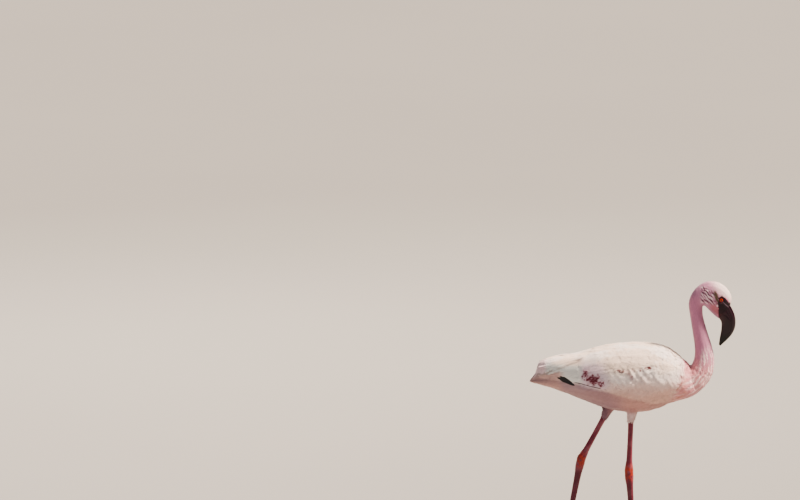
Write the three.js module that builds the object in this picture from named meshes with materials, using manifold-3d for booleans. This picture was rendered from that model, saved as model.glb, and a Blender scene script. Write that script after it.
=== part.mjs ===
// A life-size lesser flamingo that stands in mid-stride with its head bowed, in millimetres.
// +X points the way the bird faces, +Y to its left, +Z up; the floor is z = 0 and the origin lies under
// the middle of the bird. The body, neck and head are skinned over pairs of outline points, one on the
// upper and one on the lower edge of the side view, and the whole is then parted with thin cuts.
import * as THREE from "three";
import { mergeVertices } from "three/addons/utils/BufferGeometryUtils.js";
import Module from "manifold-3d";

const wasm = await Module();
wasm.setup();

// ---- Driving sizes -------------------------------------------------------------------------------

const GAP = 0.3; // between two pieces that touch
const MIDDLE_TOE = 62; // without its claw
const CLAW_LENGTH = 7;
const WEB_THICKNESS = 1.5;
const WEB_CLEARANCE = 0.7; // of the web over the floor
const WEB_REACH = 0.72; // how far the web's edge stands out between two toes, as a share of them
const EYE_RADIUS = 6.8;
const EYE_CENTRE = { x: 197, y: 11.4, z: 588 };

// Stations of each outline: upper edge x, z, lower edge x, z, and half the width between them.
const TRUNK = [
  [-232, 402, -232, 399.5, 6],
  [-225, 405, -222, 397, 15],
  [-205, 412, -205, 392.5, 26],
  [-178, 422, -180, 385, 35],
  [-145, 437, -147, 373, 46],
  [-100, 457, -101, 354.5, 58],
  [-50, 472, -50, 336.5, 67],
  [0, 481, 0, 331, 71],
  [45, 482, 44, 334.5, 69],
  [80, 476, 80, 350, 58],
  [108, 457.5, 112, 359, 44],
  [128, 438, 136, 367, 31],
  [142, 417, 148, 376, 19],
];

// The folded wings, taken together; the trunk fills what they leave.
const WINGS = [
  [-213, 441, -220, 416, 8],
  [-202, 449, -212, 408, 22],
  [-170, 458, -184, 401, 38],
  [-120, 464, -124, 383, 57],
  [-80, 477, -83, 366, 68],
  [-30, 485, -33, 356, 75.5],
  [20, 487.5, 16, 352, 77],
  [62, 483, 58, 357, 73],
  [90, 470, 88, 367, 64],
  [111, 446, 109, 384, 51],
  [121, 424, 121, 406, 34],
];

// Neck and head: the back and crown are the upper edge, the throat and breast the lower one.
const NECK = [
  [104, 435, 118, 366, 30],
  [120, 430, 150, 377, 30],
  [130.5, 435.5, 176, 408, 26],
  [139, 455, 183.5, 445, 21],
  [139, 481, 178.5, 477, 17],
  [135, 508, 170, 504, 14.8],
  [131, 534, 162, 530, 13.8],
  [127.5, 556, 157, 550, 13.4],
  [125, 576, 156, 564, 13.8],
  [129.5, 595, 156.5, 571.5, 15],
  [141.5, 613, 160, 573, 17],
  [162, 626.5, 166.5, 567.5, 18.8],
  [188, 627, 174.5, 559, 19.4],
  [208, 615, 182, 552, 18.6],
  [219, 599.5, 188.5, 546.5, 16.8],
  [221.5, 586, 191.8, 544, 14.8],
  [219.3, 576, 194, 543.8, 12.6],
];
const NECK_CUTS = [2.4, 4.6, 6.9, 10.3]; // the stations that part trunk, three lengths of neck and head
const TAIL_CUT_X = -166;

// The bill, from inside the face to its tip.
const BILL = [
  [213, 579, 189, 554, 11.2],
  [219, 571.5, 193.6, 544, 12.4],
  [225.3, 560, 197.8, 537, 12.4],
  [229.6, 548, 199, 529.5, 12],
  [231, 533.6, 198.6, 521, 11.2],
  [228.6, 519.5, 198, 513.5, 10],
  [222, 506.5, 196.6, 506, 8.4],
  [213, 496, 195.4, 499, 6.4],
  [204, 487.5, 194.4, 491.5, 4.2],
  [197, 481, 193.5, 483.5, 2],
];
// The share of the bill's depth that the upper mandible takes at each station.
const TOMIUM = [0.66, 0.62, 0.5, 0.4, 0.35, 0.35, 0.39, 0.45, 0.5, 0.52];

// The front toes: degrees out from the middle toe, and length as a share of its length.
const TOES = {
  inner: { spread: -28, share: 0.84 },
  middle: { spread: 0, share: 1 },
  outer: { spread: 29, share: 0.93 },
};

// Each leg from the top of the thigh down, with y as the distance from the bird's middle. The knuckle
// is the height of the joint that the toes spring from, and toesTurn the heading of the middle toe.
const LEGS = {
  right: {
    side: -1,
    hip: [3, 36, 377],
    featherEnd: [-5, 34, 316],
    hock: [-9, 30, 197],
    sole: [5, 31, 0],
    knuckle: 14,
    toesTurn: 4,
  },
  left: {
    side: 1,
    hip: [-36, 36, 370],
    featherEnd: [-63, 33, 313],
    hock: [-116, 30, 215],
    sole: [-157, 31, 0],
    knuckle: 18,
    toesTurn: 5,
  },
};

// ---- Solids --------------------------------------------------------------------------------------

/** A manifold solid of a closed geometry whose faces point out. */
function solid(geometry) {
  const bare = geometry.clone();
  bare.deleteAttribute("normal");
  bare.deleteAttribute("uv");
  const merged = mergeVertices(bare, 1e-3);
  const made = new wasm.Manifold(
    new wasm.Mesh({
      numProp: 3,
      vertProperties: merged.attributes.position.array,
      triVerts: new Uint32Array(merged.index.array),
    }),
  );
  if (made.volume() < 0) throw new Error("a solid is inside out");
  return made;
}

/** The BufferGeometry of a manifold solid. */
function geometryOf(manifold) {
  const mesh = manifold.getMesh();
  const position = new Float32Array(mesh.numVert * 3);
  for (let i = 0; i < mesh.numVert; i++)
    position.set(mesh.vertProperties.subarray(i * mesh.numProp, i * mesh.numProp + 3), i * 3);
  const geometry = new THREE.BufferGeometry();
  geometry.setAttribute("position", new THREE.BufferAttribute(position, 3));
  geometry.setIndex(new THREE.BufferAttribute(mesh.triVerts, 1));
  geometry.computeVertexNormals();
  return geometry;
}

/** A closed skin over rings of equal count, with a point at the middle of the first and last ring. */
function loft(rings) {
  const count = rings[0].length;
  const points = rings.flat();
  const middle = (ring) =>
    ring.reduce((sum, p) => sum.add(p), new THREE.Vector3()).divideScalar(count);
  const first = points.length;
  points.push(middle(rings[0]), middle(rings.at(-1)));
  const index = [];
  for (let r = 0; r + 1 < rings.length; r++)
    for (let i = 0; i < count; i++) {
      const a = r * count + i;
      const b = r * count + ((i + 1) % count);
      index.push(a, b, b + count, a, b + count, a + count);
    }
  const last = (rings.length - 1) * count;
  for (let i = 0; i < count; i++) {
    const next = (i + 1) % count;
    index.push(first, next, i, first + 1, last + i, last + next);
  }
  const geometry = new THREE.BufferGeometry().setFromPoints(points);
  geometry.setIndex(index);
  return geometry;
}

/** Upper and lower edge of a station table as curves; y carries half the width. */
function outline(stations) {
  const edge = (x, z) =>
    new THREE.CatmullRomCurve3(
      stations.map((s) => new THREE.Vector3(s[x], s[4], s[z])),
      false,
      "centripetal",
    );
  return { upper: edge(0, 1), lower: edge(2, 3), last: stations.length - 1 };
}

/** The pair of edge points at a station number, which may lie between two stations. */
function pairAt({ upper, lower, last }, station) {
  const u = station / last;
  return [upper.getPoint(u), lower.getPoint(u)];
}

/**
 * The solid over an outline. The section is an ellipse across each pair of points: square below 1
 * fills its corners, egg widens its upper half, and grow stands the whole skin off by that many mm.
 */
function body(edges, { steps, around, square = 1, egg = 0, grow = 0 }) {
  const rings = [];
  for (let i = 0; i <= steps; i++) {
    const [up, low] = pairAt(edges, (edges.last * i) / steps);
    const half = (up.y + low.y) / 2 + grow;
    up.y = low.y = 0;
    const centre = up.clone().add(low).multiplyScalar(0.5);
    const rise = up.clone().sub(centre);
    rise.setLength(rise.length() + grow);
    const ring = [];
    for (let k = 0; k < around; k++) {
      const angle = (2 * Math.PI * k) / around;
      const c = Math.sign(Math.cos(angle)) * Math.abs(Math.cos(angle)) ** square;
      const s = Math.sign(Math.sin(angle)) * Math.abs(Math.sin(angle)) ** square;
      const point = centre.clone().addScaledVector(rise, c);
      point.y = -half * s * (1 + egg * c);
      ring.push(point);
    }
    rings.push(ring);
  }
  return solid(loft(rings));
}

/** A round solid along points, with a fore-and-aft and a sideways radius at each. */
function limb(stations, { steps, around }) {
  const curve = (points) => new THREE.CatmullRomCurve3(points, false, "centripetal");
  const path = curve(stations.map((s) => new THREE.Vector3(...s.at)));
  const radii = curve(stations.map((s) => new THREE.Vector3(s.deep, s.wide, 0)));
  const rings = [];
  for (let i = 0; i <= steps; i++) {
    const along = path.getTangent(i / steps);
    const wide = new THREE.Vector3(0, 1, 0).addScaledVector(along, -along.y).normalize();
    const deep = new THREE.Vector3().crossVectors(wide, along);
    const centre = path.getPoint(i / steps);
    const radius = radii.getPoint(i / steps);
    const ring = [];
    for (let k = 0; k < around; k++) {
      const angle = (2 * Math.PI * k) / around;
      const point = centre.clone().addScaledVector(deep, radius.x * Math.cos(angle));
      ring.push(point.addScaledVector(wide, radius.y * Math.sin(angle)));
    }
    rings.push(ring);
  }
  return solid(loft(rings));
}

/** A box solid, its middle and size in mm, turned by a quaternion. */
function block(size, middle, turn = new THREE.Quaternion()) {
  const geometry = new THREE.BoxGeometry(...size);
  geometry.applyQuaternion(turn);
  geometry.translate(...middle);
  return solid(geometry);
}

/** A thin slab across an outline at a station, taller than it there by a reach in mm. */
function cutAcross(edges, station, reach) {
  const [up, low] = pairAt(edges, station);
  up.y = low.y = 0;
  const across = up.clone().sub(low).normalize();
  const along = new THREE.Vector3(across.z, 0, -across.x);
  const turn = new THREE.Quaternion().setFromRotationMatrix(
    new THREE.Matrix4().makeBasis(along, new THREE.Vector3(0, 1, 0), across),
  );
  const middle = up.clone().add(low).multiplyScalar(0.5);
  const height = up.distanceTo(low) + reach;
  return block([GAP, 120, height], middle.toArray(), turn);
}

/** The biggest of the pieces that a solid has fallen into. */
function largest(manifold) {
  return manifold.decompose().reduce((best, piece) => (piece.volume() > best.volume() ? piece : best));
}

const root = new THREE.Group();
const FINISHES = {
  plumage: { color: "#f1d9d6", roughness: 0.85 },
  white_plumage: { color: "#f4eeea", roughness: 0.85 },
  leg_skin: { color: "#b5323f", roughness: 0.5 },
  bill_horn: { color: "#33151c", roughness: 0.3 },
  claw_horn: { color: "#2a1c1c", roughness: 0.45 },
  eye_wet: { color: "#d9481c", roughness: 0.08 },
};

/** Adds a solid to the bird as a named mesh. */
function add(name, manifold, finish) {
  const material = new THREE.MeshStandardMaterial({ metalness: 0, ...FINISHES[finish] });
  const mesh = new THREE.Mesh(geometryOf(manifold), material);
  mesh.name = name;
  root.add(mesh);
}

// ---- Trunk, neck and head ------------------------------------------------------------------------

const TRUNK_SKIN = { steps: 20, around: 20, square: 0.95, egg: -0.12 };
const NECK_SKIN = { steps: 34, around: 16, egg: 0.1 };
const trunkEdges = outline(TRUNK);
const neckEdges = outline(NECK);
const trunkGrown = body(trunkEdges, { ...TRUNK_SKIN, grow: GAP });
const neckGrown = body(neckEdges, { ...NECK_SKIN, grow: GAP });

/** An eyeball on one side of the head. */
function eyeball(radius, side) {
  const sphere = new THREE.SphereGeometry(radius, 12, 8);
  sphere.translate(EYE_CENTRE.x, side * EYE_CENTRE.y, EYE_CENTRE.z);
  return solid(sphere);
}

let flesh = body(trunkEdges, TRUNK_SKIN).add(body(neckEdges, NECK_SKIN));
flesh = flesh.subtract(block([GAP, 160, 160], [TAIL_CUT_X, 0, 400]));
for (const station of NECK_CUTS) flesh = flesh.subtract(cutAcross(neckEdges, station, 14));
for (const side of [-1, 1]) flesh = flesh.subtract(eyeball(EYE_RADIUS + GAP, side));

// A point inside each piece of the parted flesh.
const FLESH_POINTS = {
  tail: [-198, 0, 400],
  trunk: [0, 0, 400],
  neck_lower: [158, 0, 460],
  neck_middle: [148, 0, 515],
  neck_upper: [141, 0, 570],
  head: [185, 0, 590],
};
const fleshPieces = flesh.decompose();
for (const [name, point] of Object.entries(FLESH_POINTS)) {
  const probe = block([1, 1, 1], point);
  add(name, fleshPieces.find((piece) => piece.intersect(probe).volume() > 0), "plumage");
}

// ---- Wings ---------------------------------------------------------------------------------------

const leftSide = block([600, 200, 400], [0, 100 + GAP / 2, 420]);
const wings = body(outline(WINGS), { steps: 18, around: 22, square: 0.8 });
const wingLeft = largest(wings.subtract(trunkGrown).subtract(neckGrown).intersect(leftSide));
add("wing_left", wingLeft, "white_plumage");
add("wing_right", wingLeft.mirror([0, 1, 0]), "white_plumage");

// ---- Eyes and bill -------------------------------------------------------------------------------

add("eye_left", eyeball(EYE_RADIUS, 1), "eye_wet");
add("eye_right", eyeball(EYE_RADIUS, -1), "eye_wet");

const billEdges = outline(BILL);
const bill = body(billEdges, { steps: 16, around: 14, square: 0.88 }).subtract(neckGrown);

/** All the space on the culmen's side of the tomium, drawn back by a margin in mm. */
function culmenSide(margin) {
  const steps = 24;
  const past = 12; // how far it reaches over the culmen and the tip
  const tomium = [];
  const over = [];
  for (let i = 0; i <= steps; i++) {
    const station = (billEdges.last * i) / steps;
    const [up, low] = pairAt(billEdges, station);
    const before = Math.min(Math.floor(station), TOMIUM.length - 2);
    const share = THREE.MathUtils.lerp(TOMIUM[before], TOMIUM[before + 1], station - before);
    up.y = low.y = 0;
    const down = low.clone().sub(up);
    tomium.push(up.clone().addScaledVector(down, share - margin / down.length()));
    over.push(up.clone().addScaledVector(down, -past / down.length()));
  }
  const tipward = tomium.at(-1).clone().sub(tomium.at(-2)).setLength(past);
  tomium.push(tomium.at(-1).clone().add(tipward));
  over.push(over.at(-1).clone().add(tipward));
  const shape = new THREE.Shape([...tomium, ...over.reverse()].map((p) => new THREE.Vector2(p.x, p.z)));
  const width = 60;
  const geometry = new THREE.ExtrudeGeometry(shape, { depth: width, bevelEnabled: false });
  geometry.rotateX(Math.PI / 2);
  geometry.translate(0, width / 2, 0);
  return solid(geometry);
}
add("bill_upper", largest(bill.intersect(culmenSide(GAP / 2))), "bill_horn");
add("bill_lower", largest(bill.subtract(culmenSide(-GAP / 2))), "bill_horn");

// ---- Legs and feet -------------------------------------------------------------------------------

const between = (a, b, share) => a.map((v, i) => v + (b[i] - v) * share);
const span = (a, b) => Math.hypot(...a.map((v, i) => v - b[i]));
const FLOOR = block([700, 400, 40], [0, 0, -20]);

/** All the space past a point, in the direction of another, from a margin in mm on. */
function beyond(point, toward, margin) {
  const along = new THREE.Vector3(...toward).sub(new THREE.Vector3(...point)).normalize();
  const turn = new THREE.Quaternion().setFromUnitVectors(new THREE.Vector3(1, 0, 0), along);
  const size = 500;
  const middle = new THREE.Vector3(...point).addScaledVector(along, size / 2 + margin);
  return block([size, size, size], middle.toArray(), turn);
}

/** The web from the heel to the toes: an outline through the tips, drawn in between each two. */
function web(heel, tips) {
  const shape = new THREE.Shape();
  shape.moveTo(...heel);
  shape.lineTo(...tips[0]);
  for (let i = 0; i + 1 < tips.length; i++) {
    const control = between(heel, between(tips[i], tips[i + 1], 0.5), WEB_REACH);
    shape.quadraticCurveTo(...control, ...tips[i + 1]);
  }
  shape.closePath();
  const geometry = new THREE.ExtrudeGeometry(shape, {
    depth: WEB_THICKNESS,
    bevelEnabled: false,
    curveSegments: 5,
  });
  geometry.translate(0, 0, WEB_CLEARANCE);
  return solid(geometry);
}

/** A claw from its base to its point. */
function claw(base, tip, radius) {
  const stations = [
    { at: base, deep: radius, wide: radius },
    { at: between(base, tip, 0.5), deep: radius * 0.8, wide: radius * 0.8 },
    { at: tip, deep: radius * 0.3, wide: radius * 0.3 },
  ];
  return limb(stations, { steps: 3, around: 6 }).subtract(FLOOR);
}

/** The foot under a knuckle, toes, web and hind toe in one, and its claws as pieces of their own. */
function makeFoot(side, turn, knuckle, sole) {
  const [x, y] = sole;
  const ball = new THREE.SphereGeometry(1, 10, 6);
  ball.scale(8.4, 7.8, 5.6);
  ball.translate(x + 5, y, 4.4);
  const root = [
    { at: between(sole, knuckle, 1.6), deep: 5.2, wide: 4.8 },
    { at: knuckle, deep: 6.2, wide: 6 },
    { at: [x + 2, y, 5], deep: 6.4, wide: 6.6 },
  ];
  let foot = solid(ball).add(limb(root, { steps: 4, around: 10 }));
  const tips = [];
  const claws = {};
  for (const [name, { spread, share }] of Object.entries(TOES)) {
    const heading = THREE.MathUtils.degToRad(turn + side * spread);
    const length = MIDDLE_TOE * share;
    const reach = (d, z) => [x + 3 + d * Math.cos(heading), y + d * Math.sin(heading), z];
    const toe = [
      { at: reach(2, 3.6), deep: 4.4, wide: 4.6 },
      { at: reach(length * 0.3, 2.7), deep: 3.5, wide: 3.7 },
      { at: reach(length * 0.62, 2.3), deep: 3, wide: 3.3 },
      { at: reach(length * 0.92, 1.8), deep: 2.4, wide: 2.7 },
      { at: reach(length, 1.6), deep: 1.6, wide: 1.9 },
    ];
    foot = foot.add(limb(toe, { steps: 5, around: 8 }));
    tips.push(reach(length * 0.95, 0).slice(0, 2));
    claws[name] = claw(reach(length + GAP, 1.6), reach(length + CLAW_LENGTH, 0.9), 1.5);
  }
  if (side > 0) tips.reverse();
  foot = foot.add(web([x + 4, y], tips));
  const hindBase = [x - 2, y, 13];
  const hindTip = [x - 12.5, y - side * 1.5, 7.5];
  const hindToe = [
    { at: hindBase, deep: 2.7, wide: 2.7 },
    { at: between(hindBase, hindTip, 0.6), deep: 2.2, wide: 2.2 },
    { at: hindTip, deep: 1.3, wide: 1.3 },
  ];
  claws.hind = claw(between(hindBase, hindTip, 1.03), between(hindBase, hindTip, 1.32), 1.2);
  return { foot: foot.add(limb(hindToe, { steps: 3, around: 6 })).subtract(FLOOR), claws };
}

for (const [label, leg] of Object.entries(LEGS)) {
  const [hip, featherEnd, hock, sole] = [leg.hip, leg.featherEnd, leg.hock, leg.sole].map(
    ([x, y, z]) => [x, leg.side * y, z],
  );
  const knuckle = between(sole, hock, leg.knuckle / span(sole, hock));

  const thigh = [
    { at: between(hip, featherEnd, -0.1), deep: 26, wide: 19 },
    { at: between(hip, featherEnd, 0.35), deep: 18, wide: 15 },
    { at: between(hip, featherEnd, 0.72), deep: 11, wide: 10.5 },
    { at: between(hip, featherEnd, 0.95), deep: 8.4, wide: 8 },
    { at: between(hip, featherEnd, 1.1), deep: 7, wide: 6.5 },
  ];
  const bare = [
    { at: between(featherEnd, hock, -0.1), deep: 6, wide: 5.6 },
    { at: between(featherEnd, hock, 0.4), deep: 5.6, wide: 4.8 },
    { at: between(featherEnd, hock, 0.76), deep: 6.4, wide: 5.4 },
    { at: between(featherEnd, hock, 0.88), deep: 8.4, wide: 6.8 },
    { at: between(featherEnd, hock, 0.97), deep: 9.9, wide: 7.9 },
    { at: between(hock, sole, 0.06), deep: 9.6, wide: 7.7 },
    { at: between(hock, sole, 0.16), deep: 7.2, wide: 6 },
    { at: between(hock, sole, 0.5), deep: 5.6, wide: 4.6 },
    { at: between(sole, knuckle, 1.8), deep: 5.2, wide: 4.8 },
    { at: between(sole, knuckle, 0.9), deep: 5.6, wide: 5.2 },
  ];
  const feathered = limb(thigh, { steps: 8, around: 14 }).subtract(trunkGrown);
  const bareLeg = limb(bare, { steps: 26, around: 10 });
  const { foot, claws } = makeFoot(leg.side, leg.toesTurn, knuckle, sole);

  // Past each joint begins the next piece, half a gap on.
  const half = GAP / 2;
  const pieces = {
    thigh: feathered.subtract(beyond(featherEnd, hock, -half)),
    shank: bareLeg.intersect(beyond(featherEnd, hock, half)).subtract(beyond(hock, sole, -half)),
    tarsus: bareLeg.intersect(beyond(hock, sole, half)).subtract(beyond(knuckle, sole, -half)),
    foot: foot.intersect(beyond(knuckle, sole, half)),
  };
  for (const [part, piece] of Object.entries(pieces))
    add(`${part}_${label}`, largest(piece), part === "thigh" ? "white_plumage" : "leg_skin");
  for (const [toe, piece] of Object.entries(claws)) add(`claw_${toe}_${label}`, piece, "claw_horn");
}

export default root;
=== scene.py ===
"""A life-size lesser flamingo in mid-stride, its head bowed, as a museum shows one.

One skin takes the place of the bird's flesh, and the plumage grows over it in tracts of solid vanes.
Lengths in the classes below are in millimetres unless they say otherwise; meshes are in metres.
+X is the way the bird faces, +Y its left side, +Z up, and the floor is z = 0.
"""

import logging
import math
from dataclasses import dataclass, field
from enum import Enum
from functools import partial
from itertools import product
from typing import Any, Callable, Iterable, Sequence

import bmesh
import bpy
import numpy as np
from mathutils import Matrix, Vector
from mathutils.bvhtree import BVHTree


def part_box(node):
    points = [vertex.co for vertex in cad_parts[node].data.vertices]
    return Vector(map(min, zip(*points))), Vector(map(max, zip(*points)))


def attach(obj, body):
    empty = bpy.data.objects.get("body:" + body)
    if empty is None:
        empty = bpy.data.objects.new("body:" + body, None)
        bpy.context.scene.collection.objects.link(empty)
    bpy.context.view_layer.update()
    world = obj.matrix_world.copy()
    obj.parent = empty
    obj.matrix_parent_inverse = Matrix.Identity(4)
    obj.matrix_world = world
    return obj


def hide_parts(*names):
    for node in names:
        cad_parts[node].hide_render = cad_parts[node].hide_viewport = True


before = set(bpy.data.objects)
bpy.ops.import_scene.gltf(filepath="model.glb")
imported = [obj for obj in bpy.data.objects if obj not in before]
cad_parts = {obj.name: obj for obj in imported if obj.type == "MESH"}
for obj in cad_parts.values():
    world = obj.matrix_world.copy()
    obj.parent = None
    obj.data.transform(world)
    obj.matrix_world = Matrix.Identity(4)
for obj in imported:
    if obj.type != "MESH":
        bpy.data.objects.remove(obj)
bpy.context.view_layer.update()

MM = 0.001
LOG = logging.getLogger("flamingo")

Rows = np.ndarray
Mesh = bpy.types.Mesh
Node = bpy.types.Node
Pair = tuple[float, float]
Triple = tuple[float, float, float]
Quad = tuple[float, float, float, float]
Table = tuple[tuple[float, ...], ...]

# The kinds of node that the trees use most.
ATTRIBUTE = "ShaderNodeAttribute"
DRAW = "FunctionNodeRandomValue"
MATH = "ShaderNodeMath"
NOISE = "ShaderNodeTexNoise"
PLACE = "ShaderNodeTexCoord"
RANGE = "ShaderNodeMapRange"
STORE = "GeometryNodeStoreNamedAttribute"
VECTOR = "ShaderNodeVectorMath"


class Slot(Enum):
    """The record's material slots that whole pieces are made of."""

    PLUMAGE = "plumage"
    FLIGHT = "flight_feather"
    LEG = "leg_skin"
    HORN = "bill_horn"
    CLAW = "claw_horn"
    EYE = "eye"


class Side(Enum):
    """A side of the bird, as the sign of y there."""

    RIGHT = -1
    LEFT = 1


SIDE_NAMES = {Side.RIGHT: "right", Side.LEFT: "left"}
CORNERS = 64  # draws set aside for one vane's corners; a long vane has more, and borrows another's
SMALLEST_PART = 400  # vertices that a loose part of a shell needs to stay
LEAN = 0.10  # how far forward the eyes look, in radians
DEEPEST = 0.03  # a place inside a node is nearer to its surface than this, in metres
BODY_NODES = ("tail", "trunk", "wing_right", "wing_left", "neck_lower", "neck_middle", "neck_upper", "head",
              "thigh_right", "thigh_left")
LEG_NODES = tuple(f"{part}_{name}" for part in ("shank", "tarsus", "foot") for name in SIDE_NAMES.values())
CLAWS = ("inner", "middle", "outer", "hind")


# ---- Numbers and colours


def ramp(value: Rows, low: float, high: float) -> Rows:
    """A smooth step from 0 to 1.

    Args:
        value: The numbers to grade.
        low: Where the step begins; above high for a falling step.
        high: Where it ends.

    Returns:
        0 before low, 1 past high, and a smooth rise between.
    """
    t = np.clip((np.asarray(value, float) - low) / (high - low), 0.0, 1.0)
    return t * t * (3 - 2 * t)


def blend(a: Rows, b: Rows, share: Rows) -> Rows:
    """Mixes rows of a and b.

    Args:
        a: Colours or vectors where share is 0.
        b: The same where share is 1.
        share: One number a row.

    Returns:
        The mixed rows.
    """
    s = np.asarray(share, float)[:, None]
    return a * (1 - s) + b * s


def unit(rows: Rows) -> Rows:
    """The rows of an array, each brought to length 1."""
    return rows / np.maximum(np.linalg.norm(rows, axis=-1, keepdims=True), 1e-12)


def linear(colour: str) -> Quad:
    """Turns an sRGB hex colour to linear.

    Args:
        colour: Such as "#f6eeec".

    Returns:
        Red, green, blue and 1, linear.
    """
    parts = [int(colour[i:i + 2], 16) / 255 for i in (1, 3, 5)]
    r, g, b = (c / 12.92 if c <= 0.04045 else ((c + 0.055) / 1.055) ** 2.4 for c in parts)
    return r, g, b, 1.0


def tint(colour: str) -> Rows:
    """An sRGB hex colour as a linear row of three."""
    return np.array(linear(colour)[:3])


def even(colour: str, count: int) -> Rows:
    """So many rows of one sRGB hex colour, linear."""
    return np.tile(tint(colour), (count, 1))


def layered(ground: Rows, *coats: tuple[str | Rows, Rows]) -> Rows:
    """Lays coats of colour over one another.

    Args:
        ground: Linear colours, a row of three each.
        coats: In their order, a hex colour or linear rows, and how much of it goes on each row.

    Returns:
        The linear colours.
    """
    for colour, share in coats:
        ground = blend(ground, tint(colour) if isinstance(colour, str) else colour, share)
    return ground


def waves(places: Rows, pitch: float, seed: int) -> Rows:
    """Smooth noise that repeats each run: a sum of sine waves of random heading.

    Args:
        places: Rows of any width, in mm.
        pitch: The usual distance from crest to crest, in mm.
        seed: Which noise it is.

    Returns:
        One number a row, mostly between -1 and 1.
    """
    rng = np.random.default_rng(seed)
    total = np.zeros(len(places))
    for _ in range(7):
        heading = unit(rng.normal(size=(1, places.shape[1])))[0]
        length = pitch * rng.uniform(0.6, 1.6)
        total += np.sin(places @ heading * (2 * math.pi / length) + rng.uniform(0, 2 * math.pi))
    return total / 2.6


# ---- Meshes


def column(items: Any, name: str, width: int = 1, kind: type = float) -> Rows:
    """Reads one property of all of a mesh's vertices, edges or loops.

    Args:
        items: The collection.
        name: The property.
        width: How many numbers it has.
        kind: What numbers they are.

    Returns:
        The numbers, a row for each item where there are several.
    """
    flat = np.empty(len(items) * width, kind)
    items.foreach_get(name, flat)
    return flat.reshape(-1, width) if width > 1 else flat


def places_of(mesh: Mesh) -> Rows:
    """The vertices of a mesh as rows of three, in metres."""
    return column(mesh.vertices, "co", 3)


def normals_of(mesh: Mesh) -> Rows:
    """The vertex normals of a mesh."""
    return column(mesh.vertex_normals, "vector", 3)


def edges_of(mesh: Mesh) -> Rows:
    """The vertex pairs of a mesh's edges."""
    return column(mesh.edges, "vertices", 2, np.int32)


def set_places(mesh: Mesh, places: Rows) -> None:
    """Moves the vertices of a mesh."""
    mesh.vertices.foreach_set("co", np.asarray(places, np.float32).ravel())
    mesh.update()


def put_attribute(mesh: Mesh, name: str, kind: str, values: Rows) -> None:
    """Stores one value a vertex.

    Args:
        mesh: The mesh that takes it.
        name: The attribute's name.
        kind: FLOAT, FLOAT_VECTOR or FLOAT_COLOR.
        values: A number, a row of three or a row of four for each vertex.
    """
    word = {"FLOAT": "value", "FLOAT_VECTOR": "vector", "FLOAT_COLOR": "color"}[kind]
    attribute = mesh.attributes.new(name, kind, "POINT")
    attribute.data.foreach_set(word, np.asarray(values, np.float32).ravel())


def put_tone(mesh: Mesh, tones: Rows) -> None:
    """Stores a linear colour a vertex as the attribute tone."""
    put_attribute(mesh, "tone", "FLOAT_COLOR", np.hstack([tones, np.ones((len(tones), 1))]))


def triangles(mesh: Mesh) -> int:
    """How many triangles a mesh makes."""
    return len(mesh.loops) - 2 * len(mesh.polygons)


def hand_in(name: str, mesh: Mesh, slot: Slot, *nodes: str) -> None:
    """Sets a finished piece in the frame.

    Args:
        name: The piece's name.
        mesh: Its mesh.
        slot: What it is made of; not used.
        nodes: The CAD nodes that it stands for.
    """
    piece = new_object(name, mesh)
    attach(piece, "root")
    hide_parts(*nodes)
    LOG.info("%s: %d triangles", name, triangles(mesh))


def new_object(name: str, held: Any) -> bpy.types.Object:
    """Makes an object at the origin and links it to the scene.

    Args:
        name: Its name.
        held: Its mesh, light or camera.

    Returns:
        The object.
    """
    made = bpy.data.objects.new(name, held)
    bpy.context.scene.collection.objects.link(made)
    return made


def discard(*objects: bpy.types.Object) -> None:
    """Removes helper objects and their meshes.

    Args:
        objects: The helpers.
    """
    for each in objects:
        mesh = each.data
        bpy.data.objects.remove(each)
        bpy.data.meshes.remove(mesh)


def mesh_from(name: str, places: Rows, faces: Sequence[Sequence[int]]) -> Mesh:
    """A smooth-shaded mesh.

    Args:
        name: Its name.
        places: Vertices, in metres.
        faces: Vertex numbers of each face.

    Returns:
        The mesh.
    """
    mesh = bpy.data.meshes.new(name)
    mesh.from_pydata(np.asarray(places).tolist(), [], [list(map(int, f)) for f in faces])
    mesh.polygons.foreach_set("use_smooth", np.ones(len(mesh.polygons), bool))
    mesh.update()
    return mesh


def baked(work: bmesh.types.BMesh, name: str = "part") -> Mesh:
    """Turns a finished bmesh into a mesh.

    Args:
        work: The bmesh, which is freed.
        name: The mesh's name.

    Returns:
        The mesh.
    """
    mesh = bpy.data.meshes.new(name)
    work.to_mesh(mesh)
    work.free()
    return mesh


def with_modifiers(holder: bpy.types.Object) -> Mesh:
    """Applies an object's modifiers, and removes them.

    Args:
        holder: The object.

    Returns:
        The new mesh.
    """
    graph = bpy.context.evaluated_depsgraph_get()
    graph.update()
    made = bpy.data.meshes.new_from_object(holder.evaluated_get(graph), depsgraph=graph)
    holder.modifiers.clear()
    return made


def fused(nodes: Iterable[str], voxel: float, swell: float, extra: Sequence[Mesh] = ()) -> Mesh:
    """One closed shell round some CAD nodes.

    Args:
        nodes: Their names.
        voxel: Size of the shell's faces, in mm.
        swell: How far each node is grown first, so that the thin gaps between them close, in mm.
        extra: Closed meshes that go in as well.

    Returns:
        The shell, of quads alone, with any closed-in bubble left out.
    """
    gathered = bmesh.new()
    for node in nodes:
        part = bmesh.new()
        part.from_mesh(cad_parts[node].data)
        bmesh.ops.remove_doubles(part, verts=part.verts, dist=1e-6)
        part.normal_update()
        for vertex in part.verts:
            vertex.co += vertex.normal * swell * MM
        loose = baked(part)
        gathered.from_mesh(loose)
        bpy.data.meshes.remove(loose)
    for mesh in extra:
        gathered.from_mesh(mesh)
    holder = new_object("fusing", baked(gathered))
    remesh = holder.modifiers.new("shell", "REMESH")
    remesh.mode, remesh.voxel_size = "VOXEL", voxel * MM
    shell = with_modifiers(holder)
    discard(holder)
    keep_islands(shell)
    return shell


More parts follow.
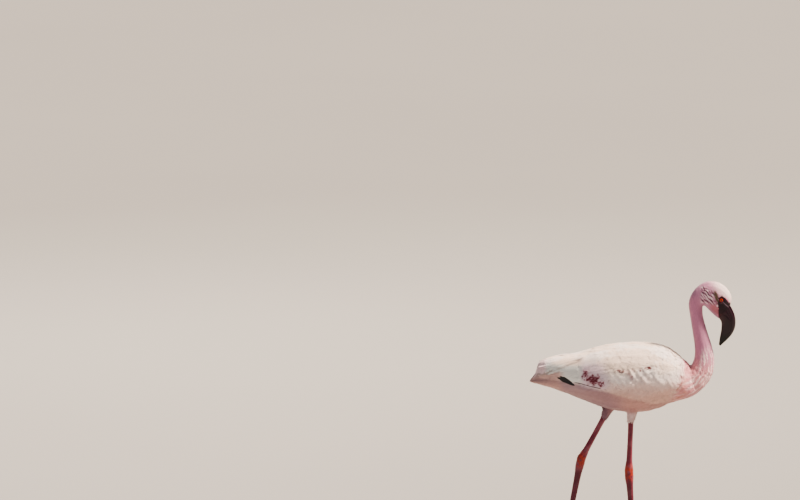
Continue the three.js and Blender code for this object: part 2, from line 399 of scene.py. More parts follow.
def keep_islands(mesh: Mesh) -> None:
    """Deletes the small loose parts of a mesh.

    Args:
        mesh: The mesh.
    """
    work = bmesh.new()
    work.from_mesh(mesh)
    seen, doomed = set(), []
    for start in work.verts:
        if start in seen:
            continue
        seen.add(start)
        island = [start]
        for vertex in island:  # which grows as it is walked
            fresh = [v for v in (edge.other_vert(vertex) for edge in vertex.link_edges) if v not in seen]
            seen.update(fresh)
            island += fresh
        if len(island) < SMALLEST_PART:
            doomed += island
    bmesh.ops.delete(work, geom=doomed, context="VERTS")
    work.to_mesh(mesh)
    work.free()


def relax(rows: Rows, edges: Rows, times: int, pull: float = 0.5, push: float = 0.0) -> Rows:
    """Smooths rows of numbers over a mesh.

    Args:
        rows: One row a vertex.
        edges: Vertex pairs.
        times: How many rounds.
        pull: How far a row moves to the mean of its neighbours each round.
        push: A backward step of that size after each round, which keeps a solid's bulk.

    Returns:
        The smoothed rows.
    """
    rows = np.array(rows, float)
    flat = rows.ndim == 1
    rows = rows[:, None] if flat else rows
    count = len(rows)
    a, b = edges[:, 0], edges[:, 1]
    ends = np.concatenate([a, b])
    others = np.concatenate([b, a])
    share = 1.0 / np.maximum(np.bincount(ends, minlength=count), 1)
    for _ in range(times):
        for step in (pull, -push) if push else (pull,):
            mean = np.stack([np.bincount(ends, rows[others, k], count) for k in range(rows.shape[1])], 1)
            rows += step * (mean * share[:, None] - rows)
    return rows[:, 0] if flat else rows


def tree_of(node: str) -> BVHTree:
    """A search tree of a CAD node's faces."""
    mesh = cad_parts[node].data
    return BVHTree.FromPolygons([v.co for v in mesh.vertices], [p.vertices for p in mesh.polygons])


def thinned(mesh: Mesh, share: float, kept: Rows | None = None) -> Mesh:
    """A mesh with fewer faces.

    Args:
        mesh: The full mesh, which is removed.
        share: How many of its faces stay.
        kept: True for the vertices where all faces stay, if any.

    Returns:
        The thinned mesh.
    """
    holder = new_object("thinning", mesh)
    thin = holder.modifiers.new("thin", "DECIMATE")
    thin.ratio = share
    if kept is not None:
        group = holder.vertex_groups.new(name="coarse")
        for value, rows in ((0.0, kept), (1.0, ~kept)):
            group.add(np.flatnonzero(rows).tolist(), value, "REPLACE")
        thin.vertex_group = "coarse"
        thin.vertex_group_factor = 1.0
    made = with_modifiers(holder)
    discard(holder)
    return made


def curve_through(rows: Rows, where: Rows) -> Rows:
    """A smooth curve through rows of numbers.

    Args:
        rows: The rows it goes through.
        where: Row numbers, which may lie between two rows.

    Returns:
        The curve's row at each.
    """
    rows = np.asarray(rows, float)
    padded = np.vstack([2 * rows[0] - rows[1], rows, 2 * rows[-1] - rows[-2]])
    start = np.clip(np.floor(where).astype(int), 0, len(rows) - 2)
    t = (np.asarray(where) - start)[:, None]
    p0, p1, p2, p3 = (padded[start + k] for k in range(4))
    return 0.5 * (2 * p1 + (p2 - p0) * t + (2 * p0 - 5 * p1 + 4 * p2 - p3) * t**2
                  + (3 * p1 - p0 - 3 * p2 + p3) * t**3)


# ---- Node trees


def add_node(tree: bpy.types.NodeTree, kind: str, inputs: dict | Sequence = (), **settings: Any) -> Node:
    """Adds a node with its settings and links.

    Args:
        tree: The tree that takes it.
        kind: Its type's identifier.
        inputs: What goes into its sockets, in their order or by name or number: a value, or the node or the
            output that feeds it.
        settings: Properties of the node.

    Returns:
        The node.
    """
    node = tree.nodes.new(kind)
    for name, value in settings.items():
        setattr(node, name, value)
    for name, value in inputs.items() if isinstance(inputs, dict) else enumerate(inputs):
        into = node.inputs[name] if isinstance(name, int) else next(
            s for s in node.inputs if s.name == name and s.enabled)
        if isinstance(value, Node):
            value = next(s for s in value.outputs if s.enabled)
        if isinstance(value, bpy.types.NodeSocket):
            tree.links.new(value, into)
        else:
            into.default_value = value
    return node


@dataclass(frozen=True)
class Finish:
    """What every surface has: a base shader over a colour, a light and a bump."""

    name: str
    roughness: float
    relief: float = 0.0  # height of the bump, in mm
    sheen: float = 0.0
    coat: float = 0.0
    ior: float = 1.5
    specular: float = 0.5

    def paint(self, add: Callable[..., Node]) -> tuple:
        """Adds the nodes of this surface's own look.

        Args:
            add: Adds a node to the material's tree.

        Returns:
            What gives the colour, how light it is, and the bump's height from 0 to 1.
        """
        raise NotImplementedError

    def build(self) -> bpy.types.Material:
        """Makes the material.

        Returns:
            The material.
        """
        material = bpy.data.materials.new(self.name)
        material.use_nodes = True
        material.node_tree.nodes.clear()
        add = partial(add_node, material.node_tree)
        colour, light, bump = self.paint(add)
        lit = add(VECTOR, {0: colour, "Scale": light}, operation="SCALE")
        raised = add("ShaderNodeBump", {"Height": bump, "Distance": self.relief * MM, "Strength": 1.0})
        shader = add("ShaderNodeBsdfPrincipled", {
            "Base Color": lit, "Roughness": self.roughness, "Normal": raised, "IOR": self.ior,
            "Specular IOR Level": self.specular, "Sheen Weight": self.sheen, "Sheen Roughness": 0.5,
            "Coat Weight": self.coat, "Coat Roughness": 0.15})
        add("ShaderNodeOutputMaterial", {"Surface": shader})
        return material


@dataclass(frozen=True)
class FeatherVane(Finish):
    """Keratin barbs hooked into a soft vane: matt, paler at the edge, with a fine line for the shaft."""

    relief: float = 0.07
    barbs: float = 16.0  # lines from root to tip
    shaft: float = 0.05  # how much darker the shaft is
    fringe: float = 0.04  # how much paler the tip is
    light: Pair = (0.95, 1.04)  # of the darkest and the palest vane
    stain: str = "#641226"

    def paint(self, add: Callable[..., Node]) -> tuple:
        """Each vane's own tone under its share of the stain, with lines for barbs and shaft.

        Args:
            add: Adds a node to the material's tree.

        Returns:
            Colour, light and bump, as in Finish.
        """
        tone = add(ATTRIBUTE, attribute_name="tone").outputs["Color"]
        vary, along, across, stain = (add(ATTRIBUTE, attribute_name=name).outputs["Fac"]
                                      for name in ("vary", "along", "across", "stain"))
        wide = add(MATH, (across,), operation="ABSOLUTE")
        # The barbs leave the shaft at a slant, so their lines run on the sum of along and across.
        slant = add(MATH, (wide, -0.42, along), operation="MULTIPLY_ADD")
        phase = add(MATH, (slant, self.barbs * 2 * math.pi), operation="MULTIPLY")
        comb = add(MATH, (phase,), operation="SINE")
        wave = add(RANGE, (comb, -1.0, 1.0))
        line = add(RANGE, (wide, 0.0, 0.09, 1.0, 0.0))
        edge = add(RANGE, (along, 0.45, 1.0))
        light = add(RANGE, (vary, 0.0, 1.0, *self.light))
        shade = add(MATH, (wave, 0.07, light), operation="MULTIPLY_ADD")
        dark = add(MATH, (line, -self.shaft, shade), operation="MULTIPLY_ADD")
        pale = add(MATH, (edge, self.fringe, dark), operation="MULTIPLY_ADD")
        # Pigment goes out along some barbs and not along others, so a stain ends in streaks.
        other = add(MATH, (vary, 90.0), operation="MULTIPLY")
        barb = add("ShaderNodeCombineXYZ", (slant, across, other))
        spread = add(VECTOR, (barb, (9.0, 1.4, 1.0)), operation="MULTIPLY")
        grain = add(NOISE, {"Vector": spread, "Scale": 1.0, "Detail": 2.0})
        reach = add(MATH, (grain.outputs["Fac"], 2.2, stain), operation="MULTIPLY_ADD")
        share = add(RANGE, (reach, 1.5, 1.95))
        mixed = {"Factor": share, "A": tone, "B": linear(self.stain)}
        stained = add("ShaderNodeMix", mixed, data_type="RGBA")
        return stained, pale, add(MATH, (line, 0.8, wave), operation="MULTIPLY_ADD")


@dataclass(frozen=True)
class Clouded(Finish):
    """A surface that one noise makes lighter and darker, and lifts where it is light."""

    grain: float = 1.0  # size of the noise, in mm
    detail: float = 2.0
    drawn: Triple = (1.0, 1.0, 1.0)  # how fine it is along each axis
    spread: Quad = (0.0, 1.0, 0.8, 1.1)  # the noise's ends, and the light there
    colour: str = ""  # or none to take the mesh's own tone

    def paint(self, add: Callable[..., Node]) -> tuple:
        """The colour under the noise.

        Args:
            add: Adds a node to the material's tree.

        Returns:
            Colour, light and bump, as in Finish.
        """
        place = add("ShaderNodeMapping", {"Vector": add(PLACE).outputs["Object"], "Scale": self.drawn})
        cloud = {"Vector": place, "Scale": 1 / (self.grain * MM), "Detail": self.detail}
        noise = add(NOISE, cloud).outputs["Fac"]
        colour = linear(self.colour)[:3] if self.colour else add(ATTRIBUTE, attribute_name="tone")
        return colour, add(RANGE, (noise, *self.spread)), noise


@dataclass(frozen=True)
class DownySkin(Clouded):
    """Skin under short down: it takes the plumage's own tone, so that no gap between vanes shows."""

    relief: float = 0.4
    grain: float = 1.2
    detail: float = 3.0
    spread: Quad = (0.0, 1.0, 0.78, 1.12)


@dataclass(frozen=True)
class BillHorn(Clouded):
    """Polished horn over bone, with fine growth lines drawn out along the bill, which points mostly down."""

    relief: float = 0.1
    grain: float = 1.4
    detail: float = 4.0
    drawn: Triple = (1.0, 1.0, 0.12)
    spread: Quad = (0.25, 0.75, 0.7, 1.35)


@dataclass(frozen=True)
class StudioPaint(Clouded):
    """Matt painted board: nearly even, with the faint cloudiness of a roller."""

    grain: float = 1250.0
    spread: Quad = (0.0, 1.0, 0.97, 1.03)
    colour: str = "#a9a7a3"


@dataclass(frozen=True)
class ScaledHide(Finish):
    """Bare skin of leg or face: horny cells a millimetre or two wide, satin, with dark furrows."""

    relief: float = 0.12
    cell: float = 1.5  # width of a cell, in mm
    furrow: float = 0.35  # how much darker a furrow is
    blotch: float = 9.0  # width of a blotch, in mm

    def paint(self, add: Callable[..., Node]) -> tuple:
        """The skin's tone in cells and broad blotches.

        Args:
            add: Adds a node to the material's tree.

        Returns:
            Colour, light and bump, as in Finish.
        """
        place = add(PLACE).outputs["Object"]
        cells = add("ShaderNodeTexVoronoi", {"Vector": place, "Scale": 1 / (self.cell * MM)},
                    feature="DISTANCE_TO_EDGE")
        body = add(RANGE, (cells, 0.0, 0.16))
        cloud = add(NOISE, {"Vector": place, "Scale": 1 / (self.blotch * MM), "Detail": 2.0}).outputs["Fac"]
        light = add(RANGE, (cloud, 0.3, 0.7, 0.86, 1.1))
        lit = add(RANGE, (body, 0.0, 1.0, 1 - self.furrow, 1.0))
        return add(ATTRIBUTE, attribute_name="tone"), add(MATH, (lit, light), operation="MULTIPLY"), body


@dataclass(frozen=True)
class WetEye(Finish):
    """A wet eyeball: black pupil, iris with fine spokes, dark rim, all under one clear gloss."""

    iris: str = "#bf2d0e"
    inner: str = "#cf4c18"
    rim: str = "#3a0c08"
    black: str = "#050304"
    pupil: float = 1.8  # radii, in mm
    edge: float = 4.1
    span: float = 8.0  # of the attribute off_axis from 0 to 1

    def paint(self, add: Callable[..., Node]) -> tuple:
        """Rings by the distance off the eye's axis.

        Args:
            add: Adds a node to the material's tree.

        Returns:
            Colour, light and bump, as in Finish.
        """
        off = add(ATTRIBUTE, attribute_name="off_axis").outputs["Fac"]
        spokes = add(NOISE, {"Vector": add(PLACE).outputs["Object"], "Scale": 1 / (0.5 * MM),
                             "Detail": 3.0}).outputs["Fac"]
        bands = add("ShaderNodeValToRGB", (off,))
        ring = bands.color_ramp.elements
        ring[0].position, ring[0].color = 0.0, linear(self.black)
        ring[1].position, ring[1].color = 1.0, linear(self.rim)
        for at, colour in ((self.pupil, self.black), (self.pupil + 0.18, self.inner), (2.9, self.iris),
                           (self.edge - 0.5, self.iris), (self.edge, self.rim)):
            ring.new(at / self.span).color = linear(colour)
        return bands.outputs["Color"], add(RANGE, (spokes, 0.3, 0.7, 0.75, 1.25)), spokes


@dataclass(frozen=True)
class Crease:
    """A line on the flank where one bank of feathers ends over the next, as x and z of its two ends."""

    start: Pair
    end: Pair
    depth: float
    width: float = 5.0
    rank: float = 18.0  # length of the feathers that end there, or 0 where none do
    over: float = 0.2  # how far those feathers lie over the surface

    def drop(self, places: Rows) -> Rows:
        """How far the surface sinks there.

        Args:
            places: Rows in mm.

        Returns:
            One number a row, in mm: deep just past the line, on its left going from start to end.
        """
        a, b = np.array(self.start), np.array(self.end)
        span = np.linalg.norm(b - a)
        along = (b - a) / span
        flat = places[:, [0, 2]] - a
        t = flat @ along
        off = flat @ np.array([-along[1], along[0]])
        off = off + 1.2 * waves(places[:, [0, 2]], 16, 61)
        ends = ramp(t, -0.12 * span - 2, 0.25 * span) * ramp(t, 1.12 * span + 2, 0.75 * span)
        past = ramp(off, -0.2, 1.6) * np.exp(-np.maximum(off, 0) / self.width)
        before = np.exp(-((off + 2.0) / 3.0) ** 2) * (off < 1)
        return self.depth * ends * (past - 0.35 * before)


# ---- The bird's own directions and markings


@dataclass(frozen=True)
class Spine:
    """The line through the middle of tail, trunk, neck and head, in the plane y = 0, as x and z."""

    line: Table = (
        (-232, 400), (-178, 403), (-100, 406), (0, 406), (80, 411), (112, 401), (136, 404), (153, 422),
        (161, 450), (159, 479), (152, 506), (146, 532), (142, 553), (141, 570), (143, 583), (151, 594),
        (165, 598), (181, 593), (195, 583), (204, 573), (207, 560))
    softness: float = 9.0  # how far the heading is averaged round a bend
    batch: int = 40000  # places that are worked on at once, which keeps the memory small

    def __post_init__(self) -> None:
        """Works out the segments once."""
        nodes = np.array([(x, 0.0, z) for x, z in self.line])
        steps = np.linalg.norm(np.diff(nodes, axis=0), axis=1)
        object.__setattr__(self, "nodes", nodes)
        object.__setattr__(self, "steps", steps)
        object.__setattr__(self, "starts", np.concatenate([[0.0], np.cumsum(steps)]))

    @property
    def length(self) -> float:
        """The whole line's length, in mm."""
        return float(self.starts[-1])

    def locate(self, places: Rows) -> tuple[Rows, Rows, Rows]:
        """Finds places along the line.

        Args:
            places: Rows in mm.

        Returns:
            The distance from the tail's tip, the heading towards the bill, and the angle round the line,
            0 along the back, positive on the left, for each.
        """
        found = []
        first = self.nodes[:-1]
        leg = np.diff(self.nodes, axis=0)
        heading = leg / self.steps[:, None]
        for part in np.array_split(places, max(1, len(places) // self.batch)):
            flat = part * (1, 0, 1)
            share = np.clip(np.einsum("nmk,mk->nm", flat[:, None] - first, leg) / self.steps**2, 0, 1)
            near = first + share[..., None] * leg
            off = np.linalg.norm(flat[:, None] - near, axis=2)
            weight = np.exp(-(((off - off.min(1, keepdims=True)) / self.softness) ** 2))
            ahead = unit(weight @ heading)
            best = off.argmin(1)
            row = np.arange(len(part))
            up = np.stack([-ahead[:, 2], np.zeros(len(part)), ahead[:, 0]], 1)
            out = part - near[row, best]
            found.append((self.starts[best] + share[row, best] * self.steps[best], ahead,
                          np.arctan2(out[:, 1], np.einsum("nk,nk->n", out, up))))
        return tuple(np.concatenate(column) for column in zip(*found))


@dataclass(frozen=True)
class Markings:
    """Where the plumage and the bare skin change colour, each colour under the name of what it marks; a few
    also carry painted shade or a painted highlight.
    """

    spine: Spine = Spine()
    white: str = "#faeee8"
    cream: str = "#f8e0cc"
    mauve: str = "#d9aab4"
    # Partly the rear wing's own mauve-grey, partly painted shade over the rear of the folded wing.
    wing_mauve: str = "#d2bfcb"
    # Partly the tertials' own white, cooled and greyed as painted shade.
    tertial: str = "#e2e6e2"
    # Partly the lower flank's own beige, partly painted shade that deepens towards the bottom.
    beige: str = "#d3a697"
    # Partly the belly's own pink, partly painted shade: darker to the rear, low down and under the wing's
    # lower edge.
    belly: str = "#bd8f89"
    belly_rear: str = "#977680"
    tail: str = "#c49c94"
    salmon: str = "#cd8a75"
    breast_fringe: str = "#a8735f"
    neck_pink: str = "#c587a2"
    neck_low: str = "#dc9ba0"
    neck_streak: str = "#fae3df"
    crown: str = "#c88fa9"
    forehead: str = "#fce8e2"
    cheek: str = "#bd7682"
    streak_dark: str = "#472a36"
    streak_pale: str = "#f8e8ea"
    olive: str = "#574a2f"
    lores: str = "#2a121d"
    lores_line: str = "#9a8494"
    brow: str = "#43202c"
    eye_ring: str = "#4e1420"
    magenta: str = "#b5357f"
    # Partly the carmine patches' own dusky mauve, partly painted shade round them.
    patch_mauve_and_shade: str = "#a8788a"
    # Painted shade along the rump's fold, where the back's long feathers lie over the tertials.
    fold_shade: str = "#85726a"
    # Partly the legs' own rose blotches, partly a painted highlight down the front of the shank.
    rose_and_highlight: str = "#c9808c"
    leg: str = "#882d44"
    hock: str = "#c64634"
    tarsus: str = "#621f31"
    web: str = "#7c2732"
    # Carmine marks on the wing: middle x and z, reach along x and z, and strength.
    carmine_patches: Table = (
        (-90, 414, 18, 12, 1), (-108, 427, 9, 14, 0.75), (-74, 405, 10, 8, 0.8),
        (-31, 435, 11, 5, 0.8), (32, 442, 10, 5, 0.9), (13, 437, 4, 4, 0.8))
    # Lines as x and z: the lower edge of the folded wing, where the back's long feathers end over the
    # wing's, and the lower edge of the long feathers over the tail.
    wing_edge: Table = ((-170, 410), (-128, 403), (-62, 390), (0, 371), (48, 357), (90, 362), (130, 400))
    rump_fold: Table = ((-204, 420), (-178, 435), (-150, 446), (-112, 461))
    bundle: Table = ((-232, 411), (-213, 417), (-166, 430), (-150, 430))
    # The front of the white breast as z and x.
    breast_front: Table = ((340, 84), (358, 92), (400, 107), (417, 115), (446, 111))
    # The bare skin between eye and bill, seen from the side: corners as x and z, clockwise.
    bare: Table = (
        (189.6, 585), (190.4, 592), (195, 596.5), (202, 596), (214, 584), (222, 576), (224, 552), (196, 538),
        (190.5, 549), (190.8, 570))
    eye: Pair = (197, 588)
    streak_heading: Pair = (0.56, -0.83)

    def bareness(self, places: Rows) -> Rows:
        """How bare the face is: 1 inside the bare skin, 0 where feathers grow.

        Args:
            places: Rows in mm.

        Returns:
            One number a row.
        """
        corners = np.array(self.bare)
        inside = np.full(len(places), 1e3)
        for a, b in zip(corners, np.roll(corners, -1, 0)):
            along = (b - a) / np.linalg.norm(b - a)
            out = np.array([-along[1], along[0]])
            inside = np.minimum(inside, -((places[:, [0, 2]] - a) @ out))
        ragged = 0.7 * waves(places, 2.4, 11) + 0.5 * waves(places, 7.0, 12)
        crest = 6.0 - 3.0 * ramp(places[:, 2], 585, 566)  # the ridge over the bill's root stays feathered
        return ramp(inside + ragged, -0.4, 0.6) * ramp(np.abs(places[:, 1]), crest - 1.0, crest + 1.0)

    def plumage(self, places: Rows) -> Rows:
        """The plumage's colour.

        Args:
            places: Rows in mm.

        Returns:
            Linear colours, a row of three each.
        """
        along, _, turn = self.spine.locate(places)
        back = self.spine.length - along
        x, y, z = places.T
        cloud, fine = waves(places, 70, 3), waves(places, 12, 4)
        # Where the rear of the folded wing takes mauve, partly its own colour and partly painted shade.
        rear = ramp(x + 8 * cloud, -42, -74) * ramp(x, -130, -112) * ramp(z, 384, 400) * ramp(z, 464, 440)
        # Below the wing's lower edge: the belly's own colour with painted shade, darker to the rear.
        under = ramp(z - np.interp(x, *zip(*self.wing_edge)) + 2 * fine, 2, -5)
        belly = layered(even(self.belly, len(x)), (self.belly_rear, ramp(x + 9 * cloud, 0, -70)))
        wedge = ramp(z - np.interp(x, *zip(*self.bundle)) + 1.5 * fine, 1.5, -2.5) * ramp(x, -150, -172)
        # Painted shade: a dark band just under the rump's fold line.
        off = z + fine - np.interp(x, *zip(*self.rump_fold))
        fold_shade = ramp(off, -6, -0.5) * ramp(off, 1.2, 0) * ramp(x, -108, -122) * ramp(np.abs(y), 8, 14)
        # The breast's white ends in strands, with a darker fringe.
        below = ramp(np.abs(turn), 0.9, 1.6)
        strands = waves(np.stack([z * 0.35, x * 0.12, y * 0.3], 1), 2.4, 26)
        past = x - np.interp(z, *zip(*self.breast_front))
        fringe = ramp(np.abs(past - 4 + 7 * strands), 8, 1) * ramp(strands + 0.4 * fine, -0.3, 0.6)
        streaky = ramp(back, 185, 215) * ramp(back, 330, 270) * ramp(np.abs(turn), 0.8, 1.5)
        neck_strands = waves(np.stack([back * 0.13, turn * 30.0], 1), 6.0, 23)
        colour = layered(
            even(self.white, len(x)),
            (self.cream, 0.85 * ramp(z, 416, 444) * ramp(cloud + 0.4 * fine, -0.9, 0.4)),
            # Partly the lower flank's own beige, partly painted shade deepening towards the bottom.
            (self.beige, 0.9 * ramp(z + 6 * cloud + 3 * fine, 432, 370)),
            (self.wing_mauve, 0.8 * rear),
            # The tertials' white, cooled and greyed as painted shade.
            (self.tertial, 0.85 * ramp(x, -106, -128) * ramp(z, 450, 440) * ramp(z, 402, 410)),
            # Painted shade with the belly's colour: stronger low down, under the wing's edge.
            (belly, (0.75 + 0.25 * ramp(z, 372, 345)) * under),
            (self.neck_streak, 0.65 * ramp(z, 339, 329) * ramp(x, -45, -25)),
            (self.tail, 0.85 * wedge),
            (self.mauve, 0.6 * ramp(x, -190, -204) * (1 - wedge)),
            # Painted shade under the rump's fold.
            (self.fold_shade, 0.8 * fold_shade),
            # Partly the patches' own dusky mauve, partly painted shade round them.
            (self.patch_mauve_and_shade, 0.85 * self.carmined(places) * ramp(x, -40, -60)),
            (self.salmon, 0.95 * ramp(past + 5 * strands + 2 * fine, -5, 4) * below),
            (self.breast_fringe, 0.6 * fringe * below),
            (self.neck_low, ramp(back + 8 * fine, 330, 285)),
            (self.neck_pink, ramp(back + 6 * fine, 262, 200)),
            (self.neck_streak, 0.85 * streaky * ramp(neck_strands, -0.1, 0.8)))
        fine_strands = waves(np.stack([back * 0.10, turn * 30.0], 1), 3.0, 24)
        colour = colour * (1 + 0.05 * fine_strands * ramp(back, 300, 250))[:, None]
        return layered(colour, (self.head(places, back), ramp(back, 104, 80)))

    def head(self, places: Rows, back: Rows) -> Rows:
        """The head's colour.

        Args:
            places: Rows in mm.
            back: Their distances back from the bill's root.

        Returns:
            Linear colours.
        """
        x, y, z = places.T
        flank = ramp(np.abs(y), 7, 12)
        # Streaks run down and forward across the nape and cheek: fine across, long along.
        gx, gz = self.streak_heading
        lines = waves(np.stack([(x * gx + z * gz) * 0.2, (x * gz - z * gx) * 1.0, y * 0.3], 1), 2.6, 21)
        nape = ramp(x, 148, 156) * ramp(x, 189, 181) * ramp(z, 574, 584) * ramp(z + 0.4 * (x - 165), 619, 611)
        nape = nape * flank
        middle = 186.5 - 0.25 * (z - 596)
        olive = ramp(np.abs(x - middle) + 1.6 * lines, 6.0, 1.2) * ramp(z, 574, 584) * ramp(z, 615, 603)
        fleck = ramp(np.hypot(x - 188.5, (z - 575) * 0.7), 2.4, 1.0)
        # Brow and magenta mark lie along a line that falls forward from the eye.
        off = ((z - 591) + 0.95 * (x - 204)) / 1.38
        brow = ramp(np.abs(off - 0.6) + 0.5 * lines, 2.2, 0.6) * ramp(x, 196, 199) * ramp(x, 210, 206)
        mark = ramp(np.abs(off - 2.0) + 0.4 * lines, 3.2, 1.2) * ramp(x, 203, 207) * ramp(x, 217, 212)
        return layered(
            even(self.neck_pink, len(x)),
            (self.crown, ramp(back, 92, 70)),
            (self.forehead, ramp(0.8 * x + 0.6 * z, 505, 535)),
            (self.cheek, flank * ramp(x, 166, 180) * ramp(z + 0.5 * (x - 180), 588, 572)),
            (self.streak_dark, 0.9 * nape * ramp(lines, 0.2, 0.7)),
            (self.streak_pale, 0.75 * nape * ramp(-lines, 0.15, 0.7)),
            (self.olive, 0.95 * olive * flank),
            (self.streak_pale, 0.8 * fleck * flank),
            (self.brow, 0.8 * brow * flank),
            (self.magenta, 0.85 * mark * ramp(np.abs(y), 5, 8)))

    def face(self, places: Rows) -> Rows:
        """The bare face's colour: near black by the eye, with one pale line down to the bill.

        Args:
            places: Rows in mm.

        Returns:
            Linear colours.
        """
        x, _, z = places.T
        off = np.hypot(x - self.eye[0], z - self.eye[1])
        line = ramp(np.abs((z - 578) + 0.98 * (x - 207)) / 1.4 + 0.3 * waves(places, 3, 25), 1.3, 0.3)
        return layered(even(self.lores, len(x)), (self.web, 0.5 * ramp(z, 560, 545)),
                       (self.eye_ring, ramp(off, 8.5, 6.0)),
                       (self.lores_line, 0.6 * line * ramp(x, 200, 203) * ramp(x, 216, 212)))

    def carmined(self, places: Rows) -> Rows:
        """How strongly a wing feather is carmine.

        Args:
            places: Rows in mm.

        Returns:
            One number a row, from 0 to 1.
        """
        total = np.zeros(len(places))
        ragged = 0.3 * waves(places, 8, 7)
        for x, z, reach_x, reach_z, strength in self.carmine_patches:
            off = np.hypot((places[:, 0] - x) / reach_x, (places[:, 2] - z) / reach_z)
            total = np.maximum(total, strength * ramp(off + ragged, 1.2, 0.5))
        return total * ramp(np.abs(places[:, 1]), 20, 34)


# ---- The shell that the plumage ends on, and the skin under it


@dataclass
class Shell:
    """The outer surface of the whole plumage, to which the vanes are fitted."""

    markings: Markings
    voxel: float = 1.3
    swell: float = 0.2
    # Each line runs so that the bank on its right, going from start to end, lies over the one on its left.
    creases: tuple[Crease, ...] = (
        Crease((6, 413), (-13, 438), 2.2), Crease((28, 406), (-2, 441), 1.2),
        Crease((38, 418), (18, 440), 1.0), Crease((-43, 414), (-58, 430), 1.5, 3.5),
        Crease((-34, 394), (-56, 417), 1.6, 3.5), Crease((-24, 391), (-44, 416), 1.6, 3.5),
        Crease((-7, 386), (-31, 416), 1.6, 3.5), Crease((3, 389), (-18, 415), 1.4, 4.0),
        Crease((64, 401), (40, 427), 0.9), Crease((35, 374), (10, 400), 1.0),
        Crease((60, 376), (30, 408), 0.8), Crease((86, 392), (66, 424), 0.7),
        Crease((-114, 408), (-117, 439), 0.8, 2.5, 26.0, 3.2),
        Crease((-119, 411), (-122, 441), 0.8, 2.5, 26.0, 2.8),
        Crease((-125, 412), (-128, 440), 0.8, 4.0, 26.0, 2.4),
        Crease((66, 447), (-60, 438), 0.9, 7.0, 0.0), Crease((-60, 438), (-120, 441), 0.9, 6.0, 0.0),
        Crease((-138, 434), (-206, 414), 1.2, 7.0, 0.0), Crease((-112, 461), (-196, 428), 1.1, 5.0, 0.0),
        Crease((50, 480), (118, 440), 0.35, 4.0, 0.0))
    unevenness: float = 0.35
    reach: float = 3.0  # within which a vertex of the shell counts as lying on a node
    thickest: float = 200.0
    crowding: float = 4.0  # tries for each place that is wanted, of which the scatter keeps the free ones

    def __post_init__(self) -> None:
        """Builds the surface and what is known of it at each vertex."""
        mesh = fused(BODY_NODES, self.voxel, self.swell)
        self.edges = edges_of(mesh)
        self.places = relax(places_of(mesh), self.edges, 14, 0.5, 0.5)
        set_places(mesh, self.places)
        self.label = self.nearest_nodes()
        self.ruffle(mesh)
        self.rise = unit(relax(normals_of(mesh), self.edges, 4))
        self.quads = column(mesh.loops, "vertex_index", 1, np.int32).reshape(-1, 4)
        self.tree = BVHTree.FromPolygons(self.places.tolist(), self.quads.tolist())
        put_attribute(mesh, "up", "FLOAT_VECTOR", self.rise)
        self.guide = new_object("plumage_surface", mesh)

    def ruffle(self, mesh: Mesh) -> None:
        """Sinks the creases into the wings, and gives the rest a faint unevenness.

        Args:
            mesh: The surface.
        """
        flat = self.places / MM
        rise = unit(relax(normals_of(mesh), self.edges, 6))
        drop = self.sunk(flat) * relax(self.on("wing_right", "wing_left").astype(float), self.edges, 3)
        body = self.on("trunk", "tail", "wing_right", "wing_left")
        swell = self.unevenness * waves(flat, 26, 62) * relax(body.astype(float), self.edges, 10)
        self.places = self.places + rise * ((swell - drop) * MM)[:, None]
        set_places(mesh, self.places)

    def sunk(self, places: Rows) -> Rows:
        """How far the creases sink the surface at each place in mm, itself in mm."""
        return sum(crease.drop(places) for crease in self.creases) * ramp(np.abs(places[:, 1]), 6, 14)

    def nearest_nodes(self) -> Rows:
        """Finds the node that each vertex lies on.

        Returns:
            Its number in BODY_NODES for each vertex.
        """
        best = np.full(len(self.places), np.inf)
        label = np.zeros(len(self.places), int)
        reach = self.reach * MM
        for number, node in enumerate(BODY_NODES):
            tree = tree_of(node)
            low, high = (np.array(c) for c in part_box(node))
            close = np.all((self.places > low - reach) & (self.places < high + reach), axis=1)
            for i in np.flatnonzero(close):
                off = tree.find_nearest(self.places[i], reach)[3]
                if off is not None and off < best[i]:
                    best[i], label[i] = off, number
        return label

    def on(self, *nodes: str) -> Rows:
        """True for each vertex that lies on one of these nodes."""
        return np.isin(self.label, [BODY_NODES.index(n) for n in nodes])

    def thickness(self) -> Rows:
        """Measures how thick the bird is.

        Returns:
            The thickness under each vertex, in metres.
        """
        start, inward = (self.places - self.rise * 0.3 * MM).tolist(), (-self.rise).tolist()
        deep = (self.tree.ray_cast(place, way, self.thickest * MM)[3] for place, way in zip(start, inward))
        return np.array([self.thickest * MM if each is None else each for each in deep])

    def scatter(self, rows: Rows, spacing: Callable[[Rows], Rows], seed: int) -> tuple[Rows, Rows]:
        """Scatters places over part of the surface, evenly but in no rows.

        Args:
            rows: True for the vertices of that part.
            spacing: Gives the least distance between two places, in mm, for rows of places in mm.
            seed: The draw.

        Returns:
            The places, in metres, and the direction outwards at each.
        """
        rng = np.random.default_rng(seed)
        faces = self.quads[rows[self.quads].all(1)]
        a, b, c, d = (self.places[faces[:, k]] for k in range(4))
        area = np.linalg.norm(np.cross(c - a, d - b), axis=1) / 2
        gap = spacing(self.places[faces[:, 0]] / MM) * MM
        copies = np.floor(area * self.crowding / gap**2 + rng.random(len(faces))).astype(int)
        faces, gap = np.repeat(faces, copies, axis=0), np.repeat(gap, copies)
        u, v = rng.random((2, len(faces), 1))
        corner = [(1 - u) * (1 - v), u * (1 - v), u * v, (1 - u) * v]
        places = sum(w * self.places[faces[:, k]] for k, w in enumerate(corner))
        rise = unit(sum(w * self.rise[faces[:, k]] for k, w in enumerate(corner)))
        kept = spread_out(places, gap, rng)
        return places[kept], rise[kept]

